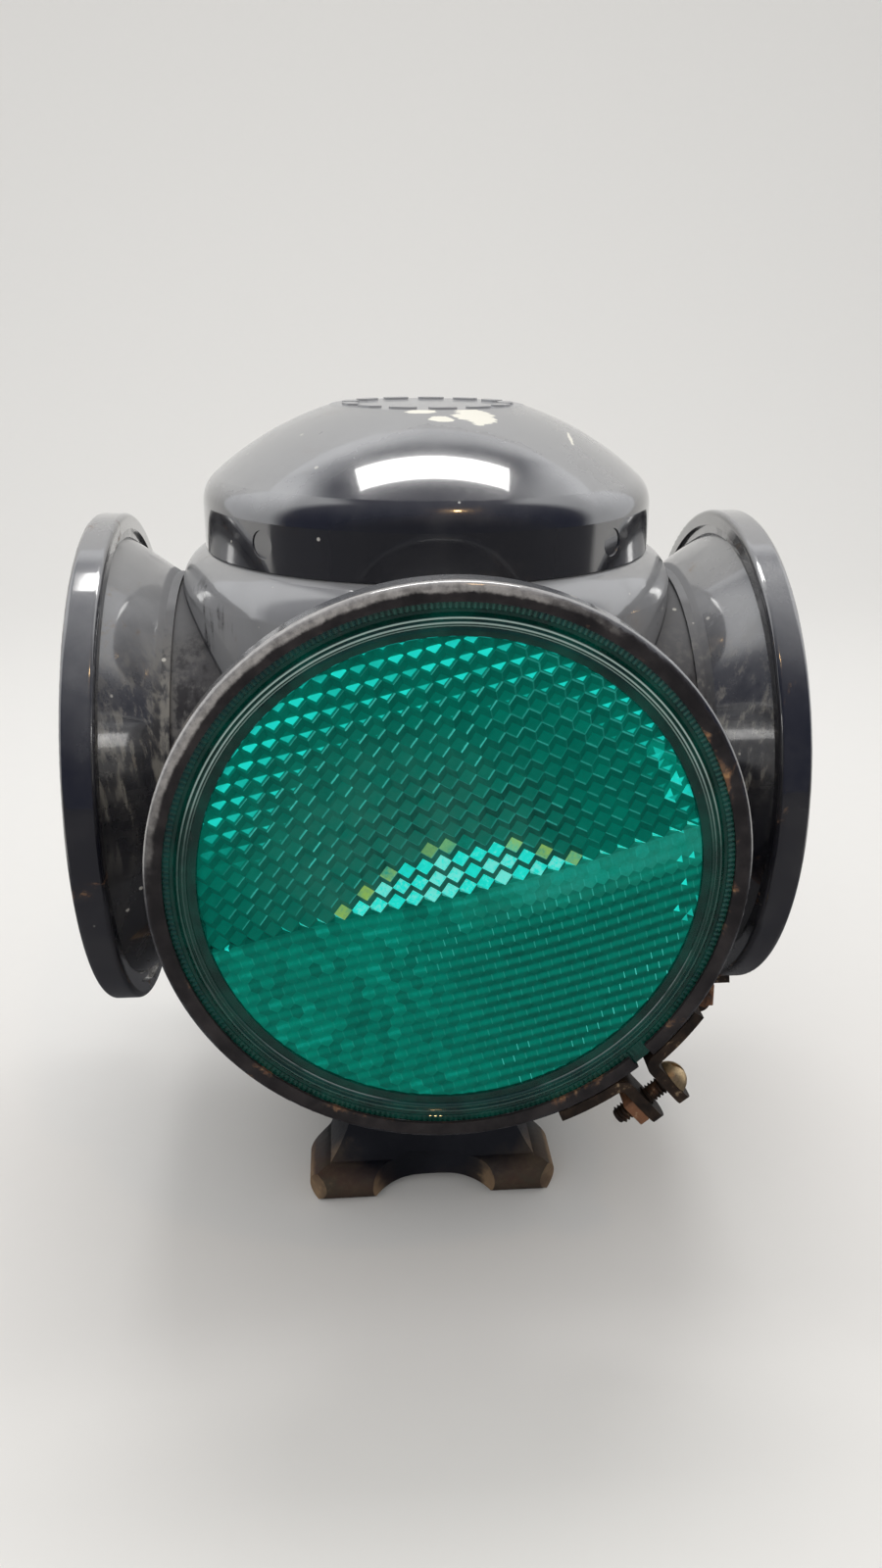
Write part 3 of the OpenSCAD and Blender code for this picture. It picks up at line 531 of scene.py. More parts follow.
def chip_masks(shading, chips):
    """Ragged ellipses on the crown, from the middle, half sizes and fill of each chip."""
    if not chips:
        return
    x, y, _ = shading.parts(shading.place)
    ragged = shading.noise(190, 5, 0.65, stretch=(0.6, 1.3, 1)) * 1.3
    ragged = ragged + shading.noise(420, 4, stretch=(0.3, 1.8, 1)) * 1.1
    for (middle_x, middle_y), (half_x, half_y), fill in chips:
        spread = ((x - middle_x * MM) / (half_x * MM)) ** 2 + ((y - middle_y * MM) / (half_y * MM)) ** 2
        yield shading.smooth(spread + ragged, fill + 0.08, fill)


def enamel_finish(paint, name, film, stains, dust, veil=0.0, neck=(0.0, 0.0), chips=(), crown=1.0):
    """Glossy black enamel with a wiped film, dust, streaks and specks, the dust thinned on faces turned to
    the front and the back as a painted reflection, leaving a grey painted sheen on the sides; matte on the
    necks and the crown.
    """
    shading = new_finish(name)
    height = shading.parts(shading.place)[2]
    across, ahead, up = shading.facing()
    broad = shading.noise(15, 6, 0.6)
    fine = shading.noise(190, 8, 0.65)
    blots = shading.noise(26, 9, 0.68, 0.3)
    runs = shading.noise(80, 6, 0.6, 0.4, stretch=(1, 1, 0.08))
    wipes = shading.noise(60, 6, 0.62, 1.1, stretch=(0.35, 0.35, 1.2))
    smears = shading.noise(360, 6, 0.65, stretch=(1, 1, 0.12))
    # Film, stains and specks
    haze_and_painted_reflection = shading.smooth(broad + fine * 0.3, 0.5, 0.95)
    streak = shading.smooth(runs, 0.5, 0.75)
    wiped = shading.smooth(wipes, 0.45, 0.72)
    dull = (haze_and_painted_reflection * 0.45 + streak * 0.5 + wiped * haze_and_painted_reflection * 0.5) * film
    stain = shading.smooth(blots + (smears - 0.5) * 0.12, 0.58, 0.67)
    stain = stain * shading.smooth(broad, 0.42, 0.6) * stains
    speck = shading.specks(210, 0.86, 0.16)
    # Dust on what faces up, thinned on faces turned to the front and the back as a painted reflection so
    # the sides keep a painted sheen, a veil of it on the upper half, and a belt rubbed into streaks
    # Less dust on the necks, so they show darker
    neck_radius, neck_dust_cut = neck
    on_neck = shading.smooth(abs(lens_axes(shading)[1] - neck_radius), 1.8 * MM, 1.2 * MM)
    top = shading.smooth(height, crown - 0.3 * MM, crown)
    lie = up + (broad - 0.5) * 0.5 + (runs - 0.5) * 0.4 + (fine - 0.5) * 0.2
    # Dust thinned on faces turned to the front and the back: a painted reflection, dark there, with a grey
    # painted sheen on the sides
    slope = across * across - abs(ahead) + (broad - 0.5) * 0.2
    painted_sheen_mask = shading.smooth(slope, -0.5, -0.34) * 0.85 + 0.15
    dust_and_sheen = shading.smooth(lie, 0.1, 0.85) * painted_sheen_mask * dust
    upper = shading.smooth(height, AXIS_HEIGHT - 40 * MM, AXIS_HEIGHT + 80 * MM)
    cover = smears * 0.75 + blots * 0.7 + runs * 0.5 + upper * 0.7 - shading.smooth(broad, 0.5, 0.62) * 0.2
    belt = shading.smooth(abs(height - (AXIS_HEIGHT + 24 * MM)), 42 * MM, 12 * MM)
    dusty = dust_and_sheen.larger(shading.smooth(cover, 1.24, 1.5) * veil) * (1 - on_neck * neck_dust_cut)
    dusty = (dusty * (1 - belt * stains * 0.55)).larger(top)
    scuff = shading.smooth(smears * 0.9 + runs * 0.7 + blots * 0.5, 1.0, 1.17) * belt * stains
    matte = on_neck.larger(top * 0.5).larger(shading.smooth(ahead, -0.86, -0.96) * 0.7)
    coats = [
        (dull, paint.film),
        (dusty, paint.dust),
        (scuff * 0.65, paint.scuff),
        (stain * 0.8, paint.ochre),
        (speck * 0.7, paint.speck),
    ]
    rough = 0.17 + dull * 0.3 + dusty * 0.12 + stain * 0.3 + speck * 0.3 + matte * 0.4
    for chip in chip_masks(shading, chips):
        coats.append((chip, paint.chip))
        rough = rough + chip * 0.35
    swell = shading.noise(45, 2, 0.4) * 0.6 + fine * 0.08
    return shading.surface(
        Base_Color=shading.layers(paint.enamel, *coats),
        Roughness=rough,
        IOR=1.9,
        Coat_Weight=(1 - dull * 0.6) * (1 - matte),
        Coat_Roughness=0.06,
        Coat_IOR=2.2,
        Normal=shading.bump(swell, 0.4 * MM, 0.22),
    )


def band_finish(paint, name):
    """Worn enamel: glossy outside, brown grime on the lip, rust and bare steel along its edges, and a
    painted reflection at the upper left.
    """
    shading = new_finish(name)
    x, _, z = shading.parts(shading.place)
    along, radius = lens_axes(shading)
    front = -BAND_LOW.y
    ragged = shading.noise(75, 9, 0.7)
    broad = shading.noise(17, 6, 0.6)
    fine = shading.noise(330, 7, 0.65)
    eaten = shading.noise(38, 9, 0.72, 0.5)
    wipe = shading.smooth(broad + fine * 0.2, 0.5, 0.8)
    dusty = shading.smooth(shading.facing()[2] + (broad - 0.5) * 0.5, 0.3, 0.95) * 0.7
    within = shading.smooth(
        radius + (ragged - 0.5) * (5 * MM), BAND_RADIUS - 0.6 * MM, BAND_RADIUS - 1.8 * MM
    )
    lip = within * shading.smooth(along + (ragged - 0.5) * (4 * MM), front - 2.2 * MM, front - 0.9 * MM)
    soot = shading.blend(shading.smooth(ragged, 0.35, 0.7), paint.grime, (0.032, 0.025, 0.025))
    # Bare steel along the corner; the wide pale band at the upper left is partly bare steel, partly painted
    # reflection
    edge = radius + along - (BAND_RADIUS + front)
    corner = shading.smooth(edge, -1.3 * MM, -0.8 * MM)
    front_or_back = shading.smooth(abs(x), 105 * MM, 100 * MM)
    upper = shading.smooth((z - AXIS_HEIGHT) / BAND_RADIUS - x * 6 + (ragged - 0.5) * 0.6, 0.5, 1.0)
    brushed = shading.smooth(fine + ragged * 0.5, 0.5, 0.95) * 0.6 + 0.4
    bare_steel_and_sheen = shading.smooth(edge + (ragged - 0.5) * (4 * MM), -3.4 * MM, -2.2 * MM)
    bare_steel_and_sheen = bare_steel_and_sheen * upper * front_or_back * brushed * 0.85
    # Bare steel with the painted reflection at the upper left
    rubbed_and_sheen = bare_steel_and_sheen.larger(corner * shading.smooth(ragged + broad * 0.4, 0.66, 0.78))
    # Rust on the inner edge and towards the right
    inner = shading.smooth(radius, BAND_RADIUS - 3 * MM, BAND_RADIUS - 5.2 * MM)
    right = shading.smooth(x, 50 * MM, 85 * MM) * front_or_back
    rust = shading.smooth(eaten + inner * 0.06 + corner * 0.04 + right * 0.06, 0.61, 0.71)
    rust_tone = shading.blend(shading.smooth(fine, 0.4, 0.65), paint.rust, (0.33, 0.18, 0.075))
    fleck = shading.specks(150, 0.9, 0.2)
    colour = shading.layers(
        paint.enamel,
        (wipe * 0.5, paint.film),
        (dusty, paint.dust),
        (lip, soot),
        (rubbed_and_sheen * 0.75, paint.bare),
        (rust * 0.85, rust_tone),
        (fleck * 0.65, paint.speck),
    )
    return shading.surface(
        Base_Color=colour,
        Roughness=0.14 + lip * 0.3 + wipe * 0.18 + rust * 0.35 + fleck * 0.3,
        IOR=1.6,
        Coat_Weight=(1 - lip * 0.85) * (1 - rust),
        Coat_Roughness=0.06,
        Coat_IOR=2.2,
        Normal=shading.bump(ragged + fine * 0.3 + rust * 0.6, 0.35 * MM, 0.5),
    )


def foot_finish(paint, name):
    """Cast iron: dark paint in the coves and the middle, darkened as painted shade, brown toes darkened as
    painted shade too, dry tan rust where the toes are battered, and painted highlight on their outward
    faces.
    """
    shading = new_finish(name)
    x, y, z = shading.parts(shading.place)
    grain = shading.noise(420, 6, 0.6)
    patch = shading.noise(55, 8, 0.65, 0.4)
    broad = shading.noise(20, 5, 0.55)
    reach = (x * x + y * y) ** 0.5
    toe = shading.smooth(reach - z * 0.75 + (patch - 0.5) * (30 * MM), 34 * MM, 54 * MM)
    # Brown of the toes, darkened as painted shade
    brown = shading.layers(
        (0.06, 0.026, 0.016),
        (shading.smooth(patch, 0.35, 0.65), (0.05, 0.037, 0.023)),
        (shading.smooth(broad + grain * 0.3, 0.6, 0.85), (0.085, 0.058, 0.034)),
    )
    # Tan on the toes' outward faces: partly rust, partly painted highlight
    outer_rust_and_highlight = shading.smooth(abs(shading.facing()[0]) + (patch - 0.5) * 0.5, 0.6, 0.85)
    knocked_and_highlight = toe * (outer_rust_and_highlight * 0.8 + shading.smooth(patch + grain * 0.25, 0.74, 0.86) * 0.5)
    colour = shading.layers(
        paint.iron,
        (shading.smooth(broad, 0.4, 0.7), (0.013, 0.014, 0.02)),
        (toe, brown),
        (knocked_and_highlight.smaller(0.85), paint.tan),
    )
    return shading.surface(
        Base_Color=colour,
        Roughness=0.38 + toe * 0.3 + grain * 0.12,
        IOR=1.5,
        Normal=shading.bump(grain * 0.5 + patch, 0.8 * MM, 0.6),
    )


def rusty_finish(paint, name, darkness):
    """Steel gone brown, with rust blooms and tan edges."""
    shading = new_finish(name)
    patch = shading.noise(130, 9, 0.7, 0.4)
    grain = shading.noise(700, 5, 0.6)
    broad = shading.noise(45, 5, 0.6)
    rust = shading.smooth(broad + patch * 0.5 - darkness, 0.62, 0.86)
    colour = shading.layers(
        (0.013, 0.01, 0.009),
        (shading.smooth(patch, 0.3, 0.7), (0.05, 0.03, 0.019)),
        (rust, paint.rust),
        (shading.smooth(patch + grain * 0.3, 0.74, 0.86) * 0.7, (0.46, 0.33, 0.2)),
    )
    return shading.surface(
        Base_Color=colour,
        Roughness=0.42 + rust * 0.3 + grain * 0.15,
        Metallic=0.35 - rust * 0.3,
        Normal=shading.bump(patch + grain * 0.4, 0.3 * MM, 0.8),
    )


def metal_finish(name, colour, dark, rough, scale=60):
    """Tarnished bare metal."""
    shading = new_finish(name)
    broad = shading.noise(scale, 7, 0.62, 0.3)
    fine = shading.noise(scale * 12, 5, 0.6)
    tarnish = shading.smooth(broad + fine * 0.25, 0.45, 0.85)
    return shading.surface(
        Base_Color=shading.blend(tarnish, colour, dark),
        Metallic=1 - tarnish * 0.25,
        Roughness=rough + tarnish * 0.28,
        Normal=shading.bump(fine + broad, 0.1 * MM, 0.5),
    )


def felt_finish(name):
    """Dark matted fibres."""
    shading = new_finish(name)
    fibre = shading.noise(900, 6, 0.75, 1.5)
    colour = shading.layers(
        (0.02, 0.018, 0.016),
        (shading.smooth(fibre, 0.3, 0.7), (0.09, 0.08, 0.07)),
        (shading.noise(120) * 0.5, (0.03, 0.026, 0.022)),
    )
    normal = shading.bump(fibre, 0.4 * MM)
    return shading.surface(Base_Color=colour, Roughness=0.82 + fibre * 0.15, Normal=normal)


def cotton_finish(name):
    """Flat woven wick, charred at its top."""
    shading = new_finish(name)
    x, _, z = shading.parts(shading.place)
    weave = shading.maths("SINE", x * 9000) * shading.maths("SINE", z * 7000)
    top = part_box("wick")[1].z
    char = shading.smooth(z + shading.noise(300, 4) * (4 * MM), top - 5 * MM, top - 0.5 * MM)
    colour = shading.layers(
        (0.42, 0.37, 0.28), (weave * 0.5 + 0.5, (0.62, 0.57, 0.46)), (char, (0.012, 0.01, 0.009))
    )
    normal = shading.bump(weave, 0.2 * MM)
    return shading.surface(Base_Color=colour, Roughness=0.8 + char * 0.15, Normal=normal)


def clear_glass_finish(name):
    """Chimney glass: mirror at grazing angles, smoked a little near its top."""
    shading = new_finish(name)
    z = shading.parts(shading.place)[2]
    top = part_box("chimney")[1].z
    smoke = shading.smooth(z + shading.noise(60, 4) * (20 * MM), top - 30 * MM, top) * 0.35
    gloss = shading.node("ShaderNodeFresnel", sockets={"IOR": 1.45})
    return shading.surface(
        Base_Color=shading.blend(smoke, (0.9, 0.93, 0.92), (0.05, 0.045, 0.04)),
        Metallic=0.9,
        Roughness=0.04 + smoke * 0.3,
        Alpha=(gloss + smoke + 0.03).smaller(1),
    )


def prism_finish(name, deep, mid, bright, warm):
    """Prism cells in painted light and shade: painted brightness, the brighter part below a cut, painted
    strokes of light, yellowish glints and a painted reflection come from the lens's own attributes.
    """
    shading = new_finish(name)
    edge, stroke, level, cut = shading.marks("prism")
    glint, haze_and_painted_reflection, low, lit = shading.marks("prism_tint")
    bricks = shading.node("ShaderNodeAttribute", {"attribute_name": "brick"}, output="Fac")
    cloud = shading.noise(120, 5, 0.6)
    grain = shading.noise(900, 4, 0.6)
    down = low * 2 - 1
    inside = shading.smooth(edge + (grain - 0.5) * 0.1, 0.86, 0.74)
    bowls = shading.smooth(down, cut - 0.05, cut + 0.05) * inside
    rows = shading.smooth(shading.maths("PINGPONG", down, 0.75), 0.1, 0.6)
    speckle = shading.smooth(level, 0.7, 0.9) * 0.55 + 0.1
    tone = level + (lit - level) * (bowls * (1 - bricks) + rows * bricks)
    tone = tone + (cloud - 0.5) * 0.14 + (grain - 0.5) * speckle
    # Ramp from the glass in painted shade through plain light to painted highlight and its palest tint;
    # then the colour of the painted reflection and that of the strokes of light
    half = [(m + b) / 2 for m, b in zip(mid, bright)]
    highlight_white = [0.8 * b + 0.2 for b in bright]
    reflection_grey = [0.62 * m + 0.03 for m in mid]
    pale = [0.6 * b + 0.06 for b in bright]
    colour = shading.layers(
        shading.ramp(tone, [(0, deep), (0.38, mid), (0.66, half), (0.88, bright), (1, highlight_white)]),
        (haze_and_painted_reflection * shading.smooth(cloud, 0.15, 0.7), reflection_grey),
        (glint * shading.smooth(cloud + grain * 0.5, 0.4, 0.9), warm),
        (stroke * shading.smooth(edge + (grain - 0.5) * 0.12, 0.86, 0.95), pale),
    )
    # The emission makes the cells glow as a painted glow: no lamp lights the lens
    return shading.surface(
        Base_Color=colour, Roughness=0.5, IOR=1.12, Emission_Color=colour, Emission_Strength=0.4
    )


def rim_finish(name, deep, mid):
    """Solid coloured glass of the rim, with painted highlights on its ribs and beads."""
    shading = new_finish(name)
    x, _, z = shading.parts(shading.place)
    along, radius = lens_axes(shading)
    cloud = shading.noise(90, 5, 0.6)
    dust = shading.smooth(shading.noise(260, 7, 0.7), 0.55, 0.75)
    # The ribs carry painted light, stronger towards the upper right
    ribs = shading.smooth(along, 117.5 * MM, 117.7 * MM) * shading.smooth(radius, 82.9 * MM, 83.4 * MM)
    clear = shading.smooth(x + z - AXIS_HEIGHT, 20 * MM, 90 * MM) * 0.45 + 0.15
    upper = shading.smooth((z - AXIS_HEIGHT) / LENS_RADIUS + (cloud - 0.5) * 0.3, 0.05, 0.5) * 0.9 + 0.1
    coats = [
        (shading.smooth(cloud, 0.3, 0.75), [0.28 * m for m in mid]),
        (dust * 0.15, (0.07, 0.08, 0.07)),
        (ribs * clear, [0.4 * m + 0.04 for m in mid]),
    ]
    # Painted highlight lines on the beads, strongest on the upper arc
    for line, width, shine in BEAD_GLINTS:
        glint = shading.smooth(abs(radius - line * MM), width * MM, 0.3 * width * MM)
        coats.append((glint * upper * shine, [0.55 * m + 0.36 for m in mid]))
    return shading.surface(
        Base_Color=shading.layers([0.4 * d for d in deep], *coats),
        Roughness=0.07 + dust * 0.25,
        IOR=1.7,
        Coat_Weight=1.0,
        Coat_Roughness=0.03,
        Coat_IOR=1.8,
    )


def cover_finish(name):
    """Smooth outer face of a lens: only its reflection shows."""
    shading = new_finish(name)
    smear = shading.smooth(shading.noise(35, 6, 0.6, 0.6), 0.5, 0.8)
    gloss = shading.node("ShaderNodeFresnel", sockets={"IOR": 1.32})
    return shading.surface(
        Base_Color=shading.blend(smear, (0.95, 0.97, 0.97), (0.75, 0.78, 0.76)),
        Metallic=1.0,
        Roughness=0.03 + smear * 0.12,
        Alpha=gloss + smear * 0.012,
    )


class SignalLampStep:
    """What the operators share."""

    bl_options = {"REGISTER", "UNDO"}


class SIGNAL_LAMP_OT_enamel(SignalLampStep, bpy.types.Operator):
    """Enamels the drum, hoods and cap"""

    bl_idname = "signal_lamp.enamel"
    bl_label = "Enamel Sheet Metal"

    def execute(self, context):
        paint = context.scene.lamp_paint
        neck = (NECK_RADIUS + 1.2 * MM, 0.1)
        hood = enamel_finish(paint, "hood_enamel", film=1.2, stains=1.0, dust=0.66, veil=0.34, neck=neck)
        neck = (NECK_RADIUS, 0.8)
        drum = enamel_finish(paint, "drum_enamel", film=0.8, stains=0.4, dust=0.92, veil=0.88, neck=neck)
        crown = CAD_BOX[1][2] - 0.7 * MM
        cap = enamel_finish(paint, "cap_enamel", film=0.3, stains=0.2, dust=0.85, chips=CHIPS, crown=crown)
        coat(hood, *around("hood"))
        coat(drum, "body_shell", "body_collar")
        coat(cap, "dome_cap", "vent_baffle")
        return {"FINISHED"}


class SIGNAL_LAMP_OT_bands(SignalLampStep, bpy.types.Operator):
    """Finishes the split bands, their lugs and the gaskets"""

    bl_idname = "signal_lamp.bands"
    bl_label = "Finish Bands"

    def execute(self, context):
        paint = context.scene.lamp_paint
        coat(band_finish(paint, "band_enamel"), *around("band"))
        coat(rusty_finish(paint, "lug_steel", 0.2), *around("lugs"))
        coat(felt_finish("gasket_felt"), *around("gasket"))
        return {"FINISHED"}


class SIGNAL_LAMP_OT_foot(SignalLampStep, bpy.types.Operator):
    """Finishes the cast foot and its bolts"""

    bl_idname = "signal_lamp.foot"
    bl_label = "Finish Foot"

    def execute(self, context):
        paint = context.scene.lamp_paint
        coat(foot_finish(paint, "foot_iron"), "base_casting")
        coat(rusty_finish(paint, "bolt_steel", 0.0), "base_bolts", "base_nuts")
        return {"FINISHED"}


class SIGNAL_LAMP_OT_burner(SignalLampStep, bpy.types.Operator):
    """Finishes the hinge, catch, fount, burner, wick and chimney"""

    bl_idname = "signal_lamp.burner"
    bl_label = "Finish Burner and Hinge"

    def execute(self, context):
        paint = context.scene.lamp_paint
        brass = metal_finish("burner_brass", paint.brass, (0.16, 0.1, 0.045), 0.22)
        tin = metal_finish("fount_tin", (0.5, 0.5, 0.5), (0.2, 0.19, 0.17), 0.25)
        steel = metal_finish("spring_steel", (0.3, 0.3, 0.32), (0.08, 0.06, 0.05), 0.3)
        coat(brass, "burner", "wick_shaft", "wick_knob", "chimney_gallery", "filler_cap")
        coat(tin, "fount", "fount_seat")
        coat(steel, "latch_spring", "hinge_body_leaf", "hinge_lid_leaf", "hinge_pin")
        coat(cotton_finish("wick_cotton"), "wick")
        coat(clear_glass_finish("chimney_glass"), "chimney")
        return {"FINISHED"}


def prism_field(name, pitch, row, relief, centre, above, wall=0.0):
    """Half a lens of cube-corner cells in rows, cut along the dividing line, with a wall down from it."""
    line = DIVIDE * MM
    cell = start(
        name, bpy.ops.mesh.primitive_circle_add, vertices=6, radius=pitch / math.sqrt(3), fill_type="TRIFAN"
    )
    with editing(cell):
        pick(cell, lambda place: place.length < pitch / 10)
        bpy.ops.transform.translate(value=(0, 0, -relief))
        pick(cell, lambda place: place.xy.length > pitch / 2 and cell_corner(place) % 2 == 0)
        bpy.ops.transform.translate(value=(0, 0, -relief / 2))
        bpy.ops.mesh.select_all(action="SELECT")
        stretch = row / (pitch * math.sqrt(3) / 2)
        bpy.ops.transform.resize(value=(1, stretch, 1), center_override=(0, 0, 0))
    rows = math.ceil(LENS_RADIUS / row) + 2
    columns = math.ceil(2 * LENS_RADIUS / pitch) + rows
    for count, step in ((columns, (pitch, 0, 0)), (rows, (pitch / 2, row, 0))):
        array = cell.modifiers.new("Array", "ARRAY")
        array.count = count
        array.use_relative_offset = False
        array.use_constant_offset = True
        array.constant_offset_displace = step
    apply_modifiers(cell)
    first_row = -1 if above else 2 - rows
    shift = Vector((centre[0] - pitch * round(columns / 2), centre[1] + first_row * row, 0))
    shift.x += pitch / 2 * first_row - pitch * (0 if above else -rows // 2)
    shift.x -= pitch * (rows // 4)
    put(cell, Matrix.Translation(shift))
    with editing(cell):
        close_up()
        bpy.ops.mesh.select_all(action="SELECT")
        bpy.ops.mesh.bisect(
            plane_co=(0, line, 0), plane_no=(0, 1, 0), clear_inner=above, clear_outer=not above
        )
        pick(cell, lambda place: place.xy.length > FIELD_RADIUS * MM)
        bpy.ops.mesh.delete(type="VERT")
        if wall:
            pick(cell, lambda place: abs(place.y - line) < pitch / 1000)
            bpy.ops.mesh.extrude_edges_move(TRANSFORM_OT_translate={"value": (0, 0, -wall)})
    return cell


def cell_corner(place):
    """Which of a cell's six corners a place is at, counted from the one at the top."""
    return round((math.degrees(math.atan2(place.y, place.x)) - 90) / 60) % 6


def near_cell(x, y, centre, pitch, row):
    """The middle of the cell that a place is in, with its row's number."""
    best = None
    guess = round((y - centre[1]) / row)
    for number in (guess - 1, guess, guess + 1):
        row_y = centre[1] + number * row
        offset = centre[0] + (pitch / 2 if number % 2 else 0)
        cell_x = offset + pitch * round((x - offset) / pitch)
        distance = (x - cell_x) ** 2 + ((y - row_y) * pitch * HEXAGON_ROW / row) ** 2
        if best is None or distance < best[0]:
            best = (distance, cell_x, row_y, number)
    return best[1:]


@dataclass
class Facet:
    """How a facet of a prism cell shows: its painted brightness, which stands for the light and shade in
    the prisms, and that of the part below a cut.
    """

    # Painted light and shade: the facet's brightness, the brighter part below a cut, strokes of light,
    # yellowish glints and a reflection veil; brick marks the small cells
    level: float
    cut: float = 2
    lit: float = 0
    stroke: float = 0
    warm: float = 0
    haze_and_painted_reflection: float = 0
    brick: float = 0


def mark_prisms(field, centre, pitch, row, tilt, show):
    """Writes painted brightness, the brighter part below a cut, painted strokes of light, and painted
    glints and reflection to every face of a prism field.
    """
    mesh = field.data
    prism = mesh.attributes.new("prism", "FLOAT_COLOR", "CORNER")
    tint = mesh.attributes.new("prism_tint", "FLOAT_COLOR", "CORNER")
    brick = mesh.attributes.new("brick", "FLOAT", "FACE")
    squash = pitch * HEXAGON_ROW / row
    chance = random.Random(7)
    known = {}
    for face in mesh.polygons:
        middle = face.center
        cell_x, cell_y, number = near_cell(middle.x, middle.y, centre, pitch, row)
        key = (round(cell_x / MM, 1), number)
        if key not in known:
            known[key] = [chance.random() for _ in range(4)]
        heading = math.degrees(math.atan2((middle.y - cell_y) * squash, middle.x - cell_x))
        sector = round(heading / 60) % 6
        facet = show(cell_x / MM, cell_y / MM, number, sector, known[key], tilt)
        brick.data[face.index].value = facet.brick
        turn = math.radians(60 * sector)
        for loop in face.loop_indices:
            vertex = mesh.vertices[mesh.loops[loop].vertex_index].co
            gap_x, gap_y = vertex.x - cell_x, (vertex.y - cell_y) * squash
            out = (gap_x * math.cos(turn) + gap_y * math.sin(turn)) / (pitch / 2)
            down = -gap_y * math.sqrt(3) / pitch
            prism.data[loop].color = (min(max(out, 0), 1), facet.stroke, facet.level, facet.cut)
            tint.data[loop].color = (facet.warm, facet.haze_and_painted_reflection, down / 2 + 0.5, facet.lit)


def lens_place(x, y, tilt):
    """Turns a place along and across the rows onto the upright lens; also gives its radius and heading."""
    lens_x = x * math.cos(tilt) - y * math.sin(tilt)
    lens_y = x * math.sin(tilt) + y * math.cos(tilt)
    heading = math.degrees(math.atan2(lens_y, lens_x))
    return lens_x, lens_y, math.hypot(lens_x, lens_y), heading + 360 if heading < -120 else heading


def upper_facet(x, y, number, sector, chance, tilt):
    """Painted light and shade of a facet of the large cells, from where it is on the lens."""
    lens_x, lens_y, radius, heading = lens_place(x, y, tilt)
    low = sector in (4, 5)
    inward = 76 - radius
    # Facets on the lower side painted lighter, the others painted darker, most so in the middle of the
    # field
    middle = fade(math.hypot((x - 4) / 1.5, y - 12), 12, 30)
    own = 0.06 + 0.04 * middle if low else -0.04 - 0.12 * middle
    facet = Facet(0.22 + (chance[0] - 0.5) * 0.08 + own)
    # A painted reflection: a grey veil over the cells, strongest left of the middle
    facet.haze_and_painted_reflection = 0.6 * fade(math.hypot(lens_x + 14, (lens_y - 8) * 1.2), 20, 60)
    # Painted bowls of light under the rim
    reach = 9 + 6 * ease(heading, 15, 45) + 11 * ease(heading, 60, 90)
    bowl = ease(heading, -4, 8) * fade(heading, 158, 178) * fade(inward, reach - 12, reach + 3)
    if bowl > 0 and (low or inward < 5 and sector in (0, 3)):
        facet.cut = 0.25 + 0.25 * fade(heading, 60, 90) + 0.5 * ease(inward, 3, 26)
        facet.lit = facet.level + (0.64 + 0.22 * chance[1] - facet.level) * bowl
    # A few random facets near the rim on the right painted bright: painted glints
    if heading < 38 and inward < 8 and chance[2] > 0.6:
        facet.level = 0.4 + 0.45 * chance[1] * (sector == int(6 * chance[3]))
    # Rows of facets painted bright above the dividing line
    if 0 <= number < len(LIT_ROWS):
        start_x, end_x = LIT_ROWS[number]
        lit = ease(x, start_x - 9, start_x - 1) * fade(x, end_x + 1, end_x + 10)
        if low:
            facet.level += (0.8 + 0.22 * chance[2] - facet.level) * lit * (0.3 if number == 3 else 1)
            # Painted yellowish glints on some cells of these rows
            if any(number == row and abs(x - place) < 2.6 for row, place in WARM_GLINT_CELLS):
                facet.warm = 0.8 if number < 3 else 0.45
            facet.haze_and_painted_reflection *= 1 - lit
        else:
            facet.level *= 1 - 0.95 * lit
    # The row along the dividing line: one facet painted bright as a painted highlight, save at its left
    # end, the other painted dim
    if number == -1 and sector in (1, 2):
        facet.level = 0.9 * ease(x, -62, -50) if sector == 1 else 0.2
    # Painted strokes of light along the cells' edges
    slash = fade(lens_x, 8, 30) * fade(radius, 60, 72) * (0.25 + 0.75 * chance[3])
    if sector in (2, 5):
        facet.stroke = slash * (1 - 0.7 * middle) * ease(y, 3, 8)
    elif sector in (1, 4):
        facet.stroke = ease(lens_x, 8, 26) * (0.1 + 0.4 * chance[3]) * ease(y, 3, 8)
    if middle > 0.3 and sector in (1, 2):
        facet.stroke = max(facet.stroke, 0.3 * middle)
    ring = ease(heading, 36, 50) * fade(heading, 72, 82) * fade(inward, 18, 32)
    if sector in (0, 3, 4, 5):
        facet.stroke = max(facet.stroke, 0.25 * ring * chance[0])
    return facet


def lower_facet(x, y, number, sector, chance, tilt):
    """Painted light and shade of a facet of the small cells, from where it is on the lens, whatever its
    row's number.
    """
    _, _, radius, heading = lens_place(x, y, tilt)
    # Bands, mottling and a lighter wedge: painted light and shade of the small cells
    banded = ease(x, -30, 20) * ease(-y, 8, 22)
    mottled = 0.34 + (chance[0] - 0.5) * 0.18
    facet = Facet(mottled + (0.33 - mottled) * banded, brick=1)
    facet.lit = facet.level - 0.12 + (0.2 + 0.04 * chance[2] - facet.level) * banded
    wedge = ease(x, -12, 30) * fade(-y, 8, 16)
    facet.level += (0.44 + (chance[0] - 0.5) * 0.05 - facet.level) * wedge
    # A painted reflection veil over the wedge
    facet.haze_and_painted_reflection = 0.4 * wedge
    facet.lit += (facet.level - 0.02 - facet.lit) * wedge
    # Painted glints on scattered facets near the rim
    sparkle = -12 < heading < 90 and chance[1] > 0.5 or 180 < heading < 204 and chance[1] > 0.7
    if radius > 69 and sparkle and sector == int(6 * chance[3]):
        facet.level = facet.lit = 0.55 + 0.35 * chance[2]
    # Painted strokes of light along the small cells' edges, some brighter near the rim
    if sector in (0, 3):
        fringe = ease(-y, 7, 12) * fade(-y, 16, 30) * ease(x, -35, -5) * fade(x, 40, 62)
        stroke = 0.1 + 0.08 * banded + 0.5 * fringe * (chance[3] > 0.35)
        facet.stroke = stroke * (0.4 + 0.6 * chance[1])
        if radius > 62 and -75 < heading < -12 and chance[0] > 0.7:
            facet.stroke = 0.9
    return facet


